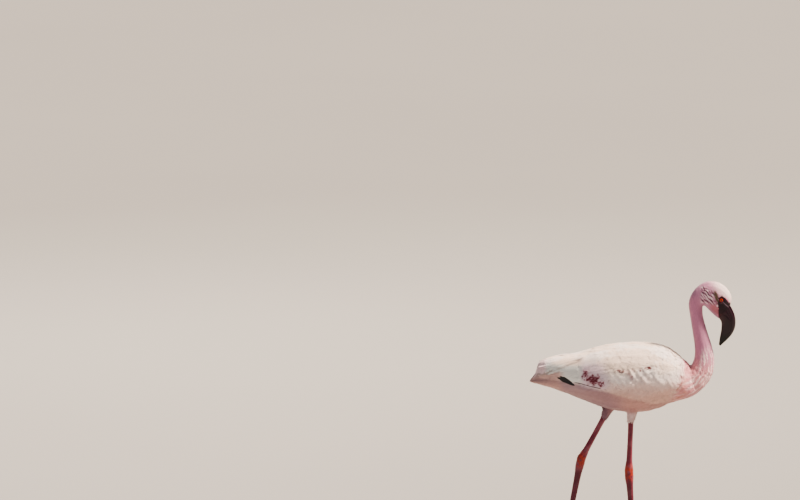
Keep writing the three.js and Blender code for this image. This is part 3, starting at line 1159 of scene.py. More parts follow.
    def hit(self, start: Sequence[float], heading: Sequence[float]) -> tuple[Rows, Rows] | None:
        """Finds where a line meets the surface.

        Args:
            start: Where it starts, in mm.
            heading: Where it goes.

        Returns:
            The place, in metres, and the direction outwards; or None.
        """
        place, _, face, _ = self.tree.ray_cast(np.array(start) * MM, heading)
        return None if place is None else (np.array(place), unit(self.rise[self.quads[face]].mean(0)))

    def beside(self, x: float, z: float, side: Side) -> tuple[Rows, Rows] | None:
        """The place at x and z on one side of the bird, as from hit."""
        return self.hit((x, side.value * 200.0, z), (0.0, -side.value, 0.0))


def spread_out(places: Rows, gap: Rows, rng: np.random.Generator) -> Rows:
    """Thins places until none is closer to a kept one than its gap.

    Args:
        places: Rows, in metres.
        gap: The gap of each, in metres.
        rng: Where the order comes from.

    Returns:
        The numbers of the kept rows.
    """
    cells = np.floor(places / gap.max()).astype(int).tolist()
    rows, least = places.tolist(), (gap**2).tolist()
    grid: dict[tuple[int, int, int], list[list[float]]] = {}
    kept = []
    around = list(product((-1, 0, 1), repeat=3))
    for i in rng.permutation(len(rows)).tolist():
        x, y, z = rows[i]
        a, b, c = cells[i]
        if not any((px - x) ** 2 + (py - y) ** 2 + (pz - z) ** 2 < least[i]
                   for da, db, dc in around for px, py, pz in grid.get((a + da, b + db, c + dc), ())):
            grid.setdefault((a, b, c), []).append(rows[i])
            kept.append(i)
    return np.array(kept, int)


def outside_of(places: Rows, nodes: Sequence[str]) -> Rows:
    """Tells which places are in none of these CAD nodes.

    Args:
        places: Rows in metres.
        nodes: The nodes' names.

    Returns:
        One truth value a row.
    """
    free = np.ones(len(places), bool)
    for tree in map(tree_of, nodes):
        for i, place in enumerate(places.tolist()):
            near, normal, _, _ = tree.find_nearest(place, DEEPEST)
            free[i] &= near is None or (Vector(place) - near).dot(normal) >= 0
    return free


@dataclass
class Skin:
    """The one skin of the bird: under the plumage by its depth, bare on the face, the legs and the feet."""

    shell: Shell
    markings: Markings
    body_depth: float = 4.2
    # The coat's depth on the other nodes.
    depth_on: tuple[tuple[str, float], ...] = (
        ("wing_right", 3.2), ("wing_left", 3.2), ("neck_lower", 2.8), ("neck_middle", 1.5),
        ("neck_upper", 1.0), ("head", 0.6), ("thigh_right", 2.6), ("thigh_left", 2.6))
    thinnest: float = 0.32  # of the bird's own thickness, at most, goes to the coat on each side
    rump: Pair = (-140, -188)  # x where the flesh begins to draw in, and where it ends
    orbit: float = 1.5  # how deep the eye's surroundings are sunk
    orbit_reach: Pair = (10.5, 5.0)  # off the eye's middle, where that begins and where it is full
    folds: float = 1.9  # from one wrinkle round the eye to the next
    folds_reach: Pair = (11.0, 6.5)  # off the eye's middle, where they begin and where they are full
    fold_height: float = 0.10
    pebble_height: float = 0.06  # of the uneven skin of the whole bare face
    leg_voxel: float = 0.8
    plate: float = 5.6  # height of a scute on the front of the leg
    back_plate: float = 0.62  # of that, behind
    plate_relief: float = 0.32
    scale: float = 3.4  # length of a scale on the toes
    scale_relief: float = 0.3
    hock_reach: Pair = (17.0, 8.0)  # off the hock, where its wrinkled skin begins and is full
    wrinkle: float = 2.6  # from one wrinkle of the hock to the next
    wrinkle_relief: float = 0.16
    knob_relief: float = 0.25  # of the hock's uneven bulk
    end_band: float = 1.5  # of a leg node, that counts as its end
    body_share: float = 0.16  # of the faces under the plumage that are kept
    leg_share: float = 0.42  # of the faces of the bare legs
    plug_size: Triple = (5.2, 3.6, 22)  # lower and upper radius, and length
    plug_rise: float = 7.0  # of its middle over the bare leg's upper end
    # The eyelids' section: degrees out from the lid's edge, and mm over the eyeball.
    lid_section: Table = ((0, -0.35), (0.5, 0.18), (3, 0.5), (7, 0.62), (11, 0.34), (16, 0.42), (21, 0.1),
                          (27, -0.9), (20, -1.4), (8, -1.1))
    lid_around: int = 72
    lid_gap: Triple = (35.0, 8.0, 4.0)  # degrees off the eye's axis, more fore and aft, less above

    def depths(self) -> Rows:
        """Works out how deep the coat is.

        Returns:
            Its depth at each vertex of the shell, in metres.
        """
        depth = np.full(len(self.shell.places), self.body_depth)
        for node, value in self.depth_on:
            depth[self.shell.on(node)] = value
        depth = relax(depth, self.shell.edges, 60)
        thick = relax(self.shell.thickness() / MM, self.shell.edges, 8)
        return relax(np.minimum(depth, self.thinnest * thick) * MM, self.shell.edges, 10)

    def off_eye(self, places: Rows) -> Rows:
        """The distance of each place from the eye's middle, seen from the side, in mm."""
        return np.hypot(places[:, 0] - self.markings.eye[0], places[:, 2] - self.markings.eye[1])

    def body(self) -> Mesh:
        """Makes the skin of trunk, neck, head and thighs, with orbits for the eyes.

        Returns:
            The skin.
        """
        edges = self.shell.edges
        self.depth = self.depths()
        places = self.shell.places / MM
        sunk = self.orbit * ramp(self.off_eye(places), *self.orbit_reach) * (np.abs(places[:, 1]) > 6)
        under = self.depth / MM * (1 - 0.7 * relax(self.markings.bareness(places), edges, 2))
        inner = places - self.shell.rise * (under + sunk)[:, None]
        start, end = self.rump
        behind = inner[:, 0] < start
        reach = (start - inner[:, 0]) / (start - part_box("tail")[0].x / MM)
        inner[behind, 0] = start - (reach * (start - end))[behind]
        mesh = self.shell.guide.data.copy()
        set_places(mesh, relax(inner, edges, 3) * MM)
        made = thinned(mesh, self.body_share, self.shell.on("head"))
        self.refine(made)
        return made

    def refine(self, mesh: Mesh) -> None:
        """Cuts the faces of the bare face finer, and gives it wrinkles round the eye.

        Args:
            mesh: The body's skin.
        """
        for _ in range(2):
            near = relax(self.markings.bareness(places_of(mesh) / MM), edges_of(mesh), 2) > 0.02
            work = bmesh.new()
            work.from_mesh(mesh)
            work.verts.ensure_lookup_table()
            chosen = [e for e in work.edges if near[e.verts[0].index] and near[e.verts[1].index]]
            bmesh.ops.subdivide_edges(work, edges=chosen, cuts=1, use_grid_fill=True)
            bmesh.ops.triangulate(work, faces=[f for f in work.faces if len(f.verts) > 3])
            work.to_mesh(mesh)
            work.free()
        places, edges = places_of(mesh) / MM, edges_of(mesh)
        soft = relax(self.markings.bareness(places), edges, 2)
        places = blend(places, relax(places, edges, 4), soft)
        set_places(mesh, places * MM)
        off = self.off_eye(places)
        folds = np.sin(off * 2 * math.pi / self.folds + 1.6 * waves(places, 7, 34))
        pebble = waves(places, 1.5, 35) + 0.6 * waves(places, 3.2, 36)
        folds *= ramp(off, *self.folds_reach)
        lift = soft * (self.fold_height * folds + self.pebble_height * pebble)
        set_places(mesh, (places + normals_of(mesh) * lift[:, None]) * MM)

    def joint(self, part: str, side: Side, top: bool) -> Vector:
        """The middle of one end of a leg node.

        Args:
            part: Which length of the leg.
            side: Which leg.
            top: True for the upper end.

        Returns:
            The place, in metres.
        """
        places = places_of(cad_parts[f"{part}_{SIDE_NAMES[side]}"].data)
        middle = places.mean(0)
        axis = np.linalg.svd(places - middle, full_matrices=False)[2][0]
        height = (places - middle) @ (axis * math.copysign(1.0, axis[2]))
        band = self.end_band * MM
        return Vector(places[height > height.max() - band if top else height < height.min() + band].mean(0))

    def plug(self, side: Side) -> Mesh:
        """Makes a short round bar that carries a leg's bare skin up into the thigh.

        Args:
            side: Which leg.

        Returns:
            The bar.
        """
        top = self.joint("shank", side, True)
        up = (top - self.joint("shank", side, False)).normalized()
        low, high, long = (size * MM for size in self.plug_size)
        work = bmesh.new()
        bmesh.ops.create_cone(work, cap_ends=True, segments=24, radius1=low, radius2=high, depth=long)
        bmesh.ops.transform(work, matrix=up.to_track_quat("Z", "Y").to_matrix().to_4x4(), verts=work.verts)
        bmesh.ops.translate(work, vec=top + up * self.plug_rise * MM, verts=work.verts)
        return baked(work)

    def legs(self) -> Mesh:
        """Makes the bare skin of both legs and feet, with its plates, wrinkles and pads.

        Returns:
            The skin, with its colours.
        """
        mesh = fused(LEG_NODES, self.leg_voxel, 0.2, [self.plug(side) for side in Side])
        places = relax(places_of(mesh), edges_of(mesh), 5, 0.5, 0.5)
        set_places(mesh, places)
        rise = normals_of(mesh)
        lift, tone = np.zeros(len(places)), np.zeros((len(places), 3))
        for side in Side:
            mine = places[:, 1] * side.value > 0
            lift[mine], tone[mine] = self.leg_relief(places[mine] / MM, rise[mine], side)
        places = places + rise * (lift * MM)[:, None]
        places[:, 2] = np.maximum(places[:, 2], 0.1 * MM)
        set_places(mesh, places)
        put_tone(mesh, tone)
        return thinned(mesh, self.leg_share)

    def leg_relief(self, places: Rows, rise: Rows, side: Side) -> tuple[Rows, Rows]:
        """Plates and wrinkles of one leg.

        Args:
            places: Its vertices, in mm.
            rise: Their normals.
            side: Which leg.

        Returns:
            How far each vertex is lifted, in mm, and its colour.
        """
        thigh, hock, knuckle = (np.array(self.joint(*end)) / MM for end in (
            ("shank", side, True), ("tarsus", side, True), ("tarsus", side, False)))
        bend = np.linalg.norm(hock - thigh)
        along = np.where(places[:, 2] > hock[2], (places - thigh) @ unit(hock - thigh),
                         bend + (places - hock) @ unit(knuckle - hock))
        front = rise[:, 0]
        foot = ramp(places[:, 2], knuckle[2] + 6, knuckle[2] - 4)
        shape, small = (np.abs(2 * (turns % 1.0) - 1) for turns in (
            along / self.plate, along / (self.plate * self.back_plate) + 0.3))
        plates = (1 - shape**7) * ramp(front, 0.1, 0.5) + (1 - small**7) * ramp(-front, 0.1, 0.6) * 0.8
        knot = ramp(np.abs(along - bend), *self.hock_reach)
        folds = np.sin(along * 2 * math.pi / self.wrinkle + 1.4 * waves(places, 8, 31))
        knobs = self.wrinkle_relief * folds + self.knob_relief * waves(places, 7, 32)
        lift = self.plate_relief * plates * (1 - knot) + knot * knobs
        toe = places[:, 0] - knuckle[0]
        scale = np.abs(2 * ((np.hypot(toe, places[:, 1] - knuckle[1]) / self.scale) % 1.0) - 1)
        scales = (1 - scale**6) * ramp(places[:, 2], 3.0, 4.2) * ramp(rise[:, 2], 0.2, 0.7)
        lift = lift * (1 - foot) + foot * self.scale_relief * scales
        marks = self.markings
        colour = layered(
            even(marks.leg, len(places)),
            (marks.rose_and_highlight, 0.35 * ramp(waves(places, 30, 37), 0.0, 1.0)),
            # Painted highlight: the front of the shank above the hock is paler rose.
            (marks.rose_and_highlight, 0.4 * ramp(front, 0.3, 0.95) * (places[:, 2] > hock[2])),
            (marks.tarsus, 0.6 * ramp(along - bend, 10, 34) * (1 - foot)),
            (marks.hock, ramp(np.abs(along - bend), 26, 6) * ramp(waves(places, 12, 33), -1.1, 0.0)),
            (marks.web, 0.8 * foot * ramp(places[:, 2], 3.4, 2.4) * ramp(np.abs(toe), 6, 12)))
        high = np.where(foot > 0.5, scales, plates * (1 - knot))  # the furrows between are darker
        return lift, colour * (0.8 + 0.2 * np.clip(high, 0, 1))[:, None]

    def lid(self, side: Side) -> Mesh:
        """Makes the bare rim of the eyelids: a closed ridge that hugs the eyeball, pointed fore and aft.

        Args:
            side: Which eye.

        Returns:
            The rim, with its colour.
        """
        low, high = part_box(f"eye_{SIDE_NAMES[side]}")
        centre = np.array((low + high) / 2)
        radius = (high.z - low.z) / 2 / MM
        ring = []
        for turn in np.arange(self.lid_around) * 2 * math.pi / self.lid_around:
            fore, top = math.cos(turn), math.sin(turn)
            # The gap between the lids is longer than high, drawn to a point before and behind, and the
            # upper lid hangs a little over the eye.
            middle, more, less = self.lid_gap
            opening = middle + more * abs(fore) ** 3 - less * max(0.0, top) ** 2
            for out, over in self.lid_section:
                wide = math.radians(opening + out)
                reach = radius + over * (1.0 + 0.35 * top + 0.10 * math.sin(9 * turn + out))
                off, deep = reach * math.sin(wide), reach * math.cos(wide)
                x = off * fore * math.cos(LEAN) + deep * math.sin(LEAN)
                across = deep * math.cos(LEAN) - off * fore * math.sin(LEAN)
                ring.append(centre + np.array([x, side.value * across, off * top]) * MM)
        count = len(self.lid_section)
        faces = []
        for k in range(self.lid_around):
            here, ahead = k * count, (k + 1) % self.lid_around * count
            for r in range(count):
                face = here + r, ahead + r, ahead + (r + 1) % count, here + (r + 1) % count
                faces.append(face if side is Side.LEFT else face[::-1])
        mesh = mesh_from("lid", np.array(ring), faces)
        put_tone(mesh, even(self.markings.eye_ring, len(ring)))
        return mesh

    def build(self) -> None:
        """Joins the parts of the skin, dresses it and sets it in the frame."""
        body = self.body()
        places = places_of(body) / MM
        bare = self.markings.bareness(places)
        put_tone(body, blend(self.markings.plumage(places), self.markings.face(places), bare))
        work = bmesh.new()
        for mesh, number in ((body, 0), (self.legs(), 1), *((self.lid(side), 2) for side in Side)):
            before = len(work.faces)
            work.from_mesh(mesh)
            work.faces.ensure_lookup_table()
            for face in work.faces[before:]:
                on_face = number == 0 and bare[[v.index for v in face.verts]].mean() > 0.3
                face.material_index = 2 if on_face else number
                face.smooth = True
            work.verts.index_update()
        made = baked(work, "skin")
        made.attributes.remove(made.attributes["up"])
        for finish in (DownySkin("down_over_skin", roughness=0.9, sheen=0.3),
                       ScaledHide("reticulate_leg_hide", roughness=0.38, cell=1.6),
                       ScaledHide("bare_face_hide", roughness=0.5, specular=0.4, cell=0.8, furrow=0.25)):
            made.materials.append(finish.build())
        hand_in("skin", made, Slot.LEG, *BODY_NODES, *LEG_NODES)


# ---- Plumage


@dataclass(frozen=True)
class Vane:
    """A closed thin vane of unit length and width, flat until it is fitted to the surface."""

    name: str
    outline: Table  # place along, and width there, as shares of the whole
    columns: int = 2
    half_thick: float = 0.13
    cup: float = 0.25  # how far its edges lie below its shaft
    ridge: float = 0.05  # of the shaft over the vane

    def object(self) -> bpy.types.Object:
        """Makes the vane.

        Returns:
            A helper object, with along, across and plate at each vertex.
        """
        across = np.linspace(-1, 1, self.columns + 1)
        rows = [(0.0, 0.0, 0.0, 0.0)]  # along, across, height, and a number that the two faces share
        tops, bottoms = [], []
        for along, width in self.outline:
            top = list(range(len(rows), len(rows) + len(across)))
            first = len(tops) * len(across) + 1
            rows += [(along, a * width, self.plate(a, 1), first + j) for j, a in enumerate(across)]
            inner = list(range(len(rows), len(rows) + len(across) - 2))
            rows += [(along, a * width, self.plate(a, -1), first + 1 + j) for j, a in enumerate(across[1:-1])]
            tops.append(top)
            bottoms.append([top[0], *inner, top[-1]])
        tip = len(rows)
        rows.append((1.0, 0.0, -0.3 * self.cup, CORNERS - 1))
        faces = []
        for lines, up in ((tops, True), (bottoms, False)):
            for j in range(self.columns):
                strip = [(0, lines[0][j], lines[0][j + 1])]
                strip += [(a[j], b[j], b[j + 1], a[j + 1]) for a, b in zip(lines, lines[1:])]
                strip.append((lines[-1][j], tip, lines[-1][j + 1]))
                faces += [f if up else f[::-1] for f in strip]
        grid = np.array(rows)
        mesh = mesh_from(self.name, grid[:, :3] * (1, 0.5, 0), faces)
        for name, values in (("along", grid[:, 0]), ("across", grid[:, 1]), ("plate", grid[:, 2] * MM),
                             ("corner", grid[:, 3])):
            put_attribute(mesh, name, "FLOAT", values)
        border = set()
        for end in (0, -1):
            chain = [0, *(line[end] for line in tops), tip]
            border |= {tuple(sorted(pair)) for pair in zip(chain, chain[1:])}
        for edge in mesh.edges:
            edge.use_edge_sharp = tuple(sorted(edge.vertices)) in border
        return new_object(self.name, mesh)

    def plate(self, across: float, face: int) -> float:
        """The height of the upper (1) or lower (-1) face at a place across, in mm."""
        shaft = self.ridge if abs(across) < 0.01 and face > 0 else 0.0
        return face * self.half_thick * (1 - across**2) - self.cup * across**2 + shaft


SMALL_VANE = Vane("small_vane", ((0.28, 0.8), (0.62, 1.0), (0.87, 0.6)), 2, 0.05, 0.06, 0.01)
BODY_VANE = Vane("body_vane", (
    (0.18, 0.62), (0.4, 0.94), (0.62, 1.0), (0.79, 0.84), (0.9, 0.58), (0.965, 0.3)), 2, 0.07, 0.28, 0.03)
LONG_VANE = Vane("long_vane", (
    (0.03, 0.32), (0.08, 0.54), (0.14, 0.7), (0.21, 0.82), (0.28, 0.9), (0.35, 0.95), (0.42, 0.98),
    (0.49, 1.0), (0.56, 1.0), (0.63, 1.0), (0.7, 0.98), (0.77, 0.93), (0.84, 0.85), (0.9, 0.71),
    (0.95, 0.52), (0.985, 0.29)), 4, 0.12, 0.5, 0.12)


@dataclass
class Roots:
    """Where vanes grow, and how each is made: a row or number for each vane, or one number for all; in mm."""

    place: Rows  # in metres
    rise: Rows
    lie: Rows
    length: Rows
    width: Rows | float
    depth: Rows | float
    lift: Rows | float
    sweep: Rows | float = 0.0  # how far the tip is bent aside
    free: Rows | float = 0.0  # how far the tip leaves the bird's surface and runs straight on
    over: Rows | float = 0.0  # how far it lies over the surface for its whole length

    def pick(self, rows: Rows) -> "Roots":
        """The same for some of the vanes."""
        return Roots(**{name: value[rows] if np.ndim(value) else value for name, value in vars(self).items()})

    def comb(self, heading: Rows) -> "Roots":
        """Lays the vanes along a heading, as near as the surface lets them, and returns them."""
        self.lie = laid(self.rise, heading)
        return self

    @staticmethod
    def join(parts: Sequence["Roots"]) -> "Roots":
        """Makes one set of several.

        Args:
            parts: The sets.

        Returns:
            All their vanes.
        """
        made = {}
        for name in vars(parts[0]):
            values = ((getattr(part, name), len(part.place)) for part in parts)
            made[name] = np.concatenate([v if np.ndim(v) else np.full(count, v) for v, count in values])
        return Roots(**made)


class PlumageTree:
    """The node tree that grows a tract: it sets a vane on each root and fits it to the bird's surface."""

    patch: float = 0.003  # size of a vane's own place on the bake map
    inputs: dict[str, str] = {
        "Roots": "Geometry", "Vane": "Object", "Surface": "Object", "Feather": "Material",
        "Stray": "Float", "Fray": "Float", "Seed": "Int"}
    rows: tuple[str, ...] = ("rise", "lie", "size", "up", "root_uv")
    numbers: tuple[str, ...] = (
        "along", "across", "plate", "corner", "vary", "depth", "lift", "over", "sweep", "free")

    def __init__(self) -> None:
        """Builds the tree and notes its inputs' identifiers."""
        self.tree = bpy.data.node_groups.new("plumage", "GeometryNodeTree")
        face = self.tree.interface
        self.names = {name: face.new_socket(name, in_out="INPUT", socket_type=f"NodeSocket{kind}").identifier
                      for name, kind in self.inputs.items()}
        face.new_socket("Plumage", in_out="OUTPUT", socket_type="NodeSocketGeometry")
        self.add = partial(add_node, self.tree)
        self.given = self.add("NodeGroupInput").outputs
        kinds = {"FLOAT_VECTOR": self.rows, "FLOAT": self.numbers}
        self.read = {name: self.add("GeometryNodeInputNamedAttribute", {"Name": name}, data_type=kind)
                     for kind, names in kinds.items() for name in names}
        self.side = self.add(VECTOR, (self.read["rise"], self.read["lie"]), operation="CROSS_PRODUCT")
        self.dress(self.fit(self.plant()))

    def plant(self) -> Node:
        """Adds the nodes that set a vane on each root.

        Returns:
            The node that gives the vanes.
        """
        add, given, read = self.add, self.given, self.read
        draw = add(DRAW, {"Min": 0.0, "Max": 1.0, "Seed": given["Seed"]}, data_type="FLOAT")
        points = add(STORE, {"Geometry": given["Roots"], "Name": "vary", "Value": draw},
                     data_type="FLOAT", domain="POINT")
        other = add(MATH, (given["Seed"], 2.0), operation="ADD")
        astray = add(DRAW, {"Min": -1.0, "Max": 1.0, "Seed": other}, data_type="FLOAT")
        slope = add(MATH, (astray, given["Stray"]), operation="MULTIPLY")
        aside = add(VECTOR, {0: self.side, "Scale": slope}, operation="SCALE")
        heading = add(VECTOR, (read["lie"], aside), operation="ADD")
        turn = add("FunctionNodeAxesToRotation", {"Primary Axis": heading, "Secondary Axis": read["rise"]},
                   primary_axis="X", secondary_axis="Z")
        vane = add("GeometryNodeObjectInfo", {"Object": given["Vane"]}, transform_space="ORIGINAL")
        grown = add("GeometryNodeInstanceOnPoints", {
            "Points": points, "Instance": vane.outputs["Geometry"], "Rotation": turn, "Scale": read["size"]})
        return add("GeometryNodeRealizeInstances", (grown,))

    def torn(self) -> Node:
        """Adds the nodes that push a vane's outline in and out at its tip, where barbs part.

        Returns:
            The node that says how far each place is pushed.
        """
        add, given, read = self.add, self.given, self.read
        number = add(MATH, (read["vary"], 30000.0), operation="MULTIPLY")
        whole = add(MATH, (number,), operation="FLOOR")
        # Both faces of a vane share their numbers, and so their draws.
        key = add(MATH, (whole, CORNERS, read["corner"]), operation="MULTIPLY_ADD")
        other = add(MATH, (given["Seed"], 3.0), operation="ADD")
        torn = add(DRAW, {"Min": -1.0, "Max": 0.6, "ID": key, "Seed": other}, data_type="FLOAT")
        near_tip = add(MATH, (read["along"], 5.0), operation="POWER")
        for factor in (given["Fray"], add("ShaderNodeSeparateXYZ", (read["size"],)), near_tip):
            torn = add(MATH, (torn, factor), operation="MULTIPLY")
        return add(VECTOR, {0: read["lie"], "Scale": torn}, operation="SCALE")

    def fit(self, real: Node) -> Node:
        """Adds the nodes that fray each vane, bend it and lay it on the surface.

        Args:
            real: The node that gives the vanes.

        Returns:
            The node that gives the fitted ones.
        """
        add, read = self.add, self.read
        square = add(MATH, (read["along"], 2.0), operation="POWER")
        bend = add(MATH, (read["sweep"], square), operation="MULTIPLY")
        swept = add(VECTOR, {0: self.side, "Scale": bend}, operation="SCALE")
        here = add("GeometryNodeInputPosition")
        moved = add(VECTOR, (here, self.torn()), operation="ADD")
        straight = add(VECTOR, (moved, swept), operation="ADD")
        body = add("GeometryNodeObjectInfo", {"Object": self.given["Surface"]}, transform_space="ORIGINAL")
        laid_on, up = (add("GeometryNodeSampleNearestSurface", {
            "Mesh": body.outputs["Geometry"], "Value": value, "Sample Position": straight},
            data_type="FLOAT_VECTOR") for value in (here, read["up"]))
        loose = add(MATH, (read["free"], square), operation="MULTIPLY")
        base, out = (add("ShaderNodeMix", {"Factor": loose, "A": a, "B": b}, data_type="VECTOR")
                     for a, b in ((laid_on, straight), (up, read["rise"])))
        # A vane rises steeply from its root and then lies level with the surface, its tip a little proud.
        left = add(MATH, (1.0, read["along"]), operation="SUBTRACT")
        rest = add(MATH, (left, 2.4), operation="POWER")
        sunk = add(MATH, (rest, read["depth"]), operation="MULTIPLY")
        level = add(MATH, (read["plate"], sunk), operation="SUBTRACT")
        tipped = add(MATH, (read["lift"], square, level), operation="MULTIPLY_ADD")
        layer = add(MATH, (read["vary"], 0.1 * MM, tipped), operation="MULTIPLY_ADD")
        height = add(MATH, (layer, read["over"]), operation="ADD")
        raised = add(VECTOR, {0: out, "Scale": height}, operation="SCALE")
        place = add(VECTOR, (base, raised), operation="ADD")
        return add("GeometryNodeSetPosition", {"Geometry": real, "Position": place})

    def dress(self, fitted: Node) -> None:
        """Adds the nodes that store the bake map, and the tree's end.

        Args:
            fitted: The node that gives the vanes.
        """
        add, read = self.add, self.read
        own = add("ShaderNodeCombineXYZ", (read["along"], read["across"]))
        size = (self.patch, self.patch / 2, 0.0)
        spot = add(VECTOR, (own, size, read["root_uv"]), operation="MULTIPLY_ADD")
        mapped = add(STORE, {"Geometry": fitted, "Name": "OFBake", "Value": spot},
                     data_type="FLOAT2", domain="CORNER")
        real = add("GeometryNodeRealizeInstances", (mapped,))
        add("NodeGroupOutput", {"Plumage": add("GeometryNodeSetMaterial", {
            "Geometry": real, "Material": self.given["Feather"]})})


@dataclass(frozen=True)
class Tract:
    """What all vanes of one piece of the coat share."""

    vane: Vane
    material: bpy.types.Material
    seed: int
    stray: float = 0.1  # how far a vane may turn off the lie, as a slope
    fray: float = 0.05  # how far the tip's outline is torn, as a share of the length
    slot: Slot = Slot.PLUMAGE
    stained: bool = False  # takes the wing's carmine stain, and painted shade in its creases
    tone: str = ""  # a colour of its own, or none to take the markings'
    by_vane: bool = False  # a vane has one colour all over


@dataclass
class Plumage:
    """Grows tracts over the shell."""

    shell: Shell
    markings: Markings
    tree: PlumageTree = field(default_factory=PlumageTree)
    crease_shade: str = "#b99ba6"
    map_edge: float = 0.01  # clear round the map, as a share of it
    thigh_strip: Pair = (0.93, 0.05)  # where the thighs' own strip begins on the map, and its height
    thigh_top: float = 350.0  # z below which the thighs hang free of the belly

    def root_map(self, places: Rows) -> Rows:
        """Each root's place on the skin unrolled along the spine, kept clear of the map's edge.

        Args:
            places: Rows in mm.

        Returns:
            Rows of u, v and 0.
        """
        along, _, turn = self.markings.spine.locate(places)
        u = self.map_edge + 0.975 * (turn / (2 * math.pi) + 0.5)
        v = self.map_edge + 0.90 * along / self.markings.spine.length
        low = self.thigh_top - places[:, 2]
        thigh = (low > 0) & (places[:, 0] < 60) & (np.abs(places[:, 1]) > 12)
        v = np.where(thigh, self.thigh_strip[0] + self.thigh_strip[1] * np.clip(low / 50, 0, 1), v)
        return np.stack([u, v, np.zeros(len(u))], 1)

    def planted(self, roots: Roots) -> bpy.types.Object:
        """The roots as a helper object of loose points, with what the tree reads at each.

        Args:
            roots: The roots.

        Returns:
            The object.
        """
        points = mesh_from("roots", roots.place, ())
        count = len(roots.place)
        size = np.stack([np.broadcast_to(v, count) for v in (roots.length, roots.width, 1 / MM)], 1) * MM
        for name, rows in (("size", size), ("rise", roots.rise), ("lie", roots.lie),
                           ("root_uv", self.root_map(roots.place / MM))):
            put_attribute(points, name, "FLOAT_VECTOR", rows)
        for name in ("depth", "lift", "sweep", "over", "free"):
            scale = 1.0 if name == "free" else MM
            put_attribute(points, name, "FLOAT", np.broadcast_to(getattr(roots, name), count) * scale)
        return new_object("growing", points)

    def grow(self, name: str, roots: Roots, tract: Tract, *nodes: str) -> None:
        """Grows one piece of the coat and sets it in the frame.

        Args:
            name: The piece's name.
            roots: Where its vanes grow.
            tract: What they share.
            nodes: The CAD nodes that it stands for, with the skin.
        """
        holder, shape = self.planted(roots), tract.vane.object()
        if tract.by_vane:
            shown = roots.place / MM + roots.lie * (0.7 * roots.length)[:, None]
            put_tone(holder.data, self.markings.plumage(shown))
        grow = holder.modifiers.new("plumage", "NODES")
        grow.node_group = self.tree.tree
        for socket, value in (("Vane", shape), ("Surface", self.shell.guide), ("Feather", tract.material),
                              ("Stray", tract.stray), ("Fray", tract.fray), ("Seed", tract.seed)):
            grow[self.tree.names[socket]] = value
        mesh = with_modifiers(holder)
        discard(holder, shape)
        if not tract.by_vane:
            self.colour(mesh, tract)
        for helper in (*PlumageTree.rows, *PlumageTree.numbers):
            if helper in mesh.attributes and helper not in ("along", "across", "vary"):
                mesh.attributes.remove(mesh.attributes[helper])
        hand_in(name, mesh, tract.slot, *nodes)

    def colour(self, mesh: Mesh, tract: Tract) -> None:
        """Colours each vertex of a grown piece by its place, darkens the wing's creases as painted shade, and
        notes how stained it is.

        Args:
            mesh: The piece.
            tract: What its vanes share.
        """
        places = places_of(mesh) / MM
        tones = even(tract.tone, len(places)) if tract.tone else self.markings.plumage(places)
        if tract.stained:
            put_attribute(mesh, "stain", "FLOAT", self.markings.carmined(places))
            # Painted shade: feathers are darkened where the creases sink them.
            tones = blend(tones, tones * tint(self.crease_shade), ramp(self.shell.sunk(places), 0.3, 1.4))
        put_tone(mesh, tones)


def laid(rise: Rows, heading: Rows) -> Rows:
    """Headings brought into the surface, and to length 1.

    Args:
        rise: Directions outwards.
        heading: Wished headings.

    Returns:
        The headings along the surface.
    """
    return unit(heading - rise * np.einsum("nk,nk->n", heading, rise)[:, None])


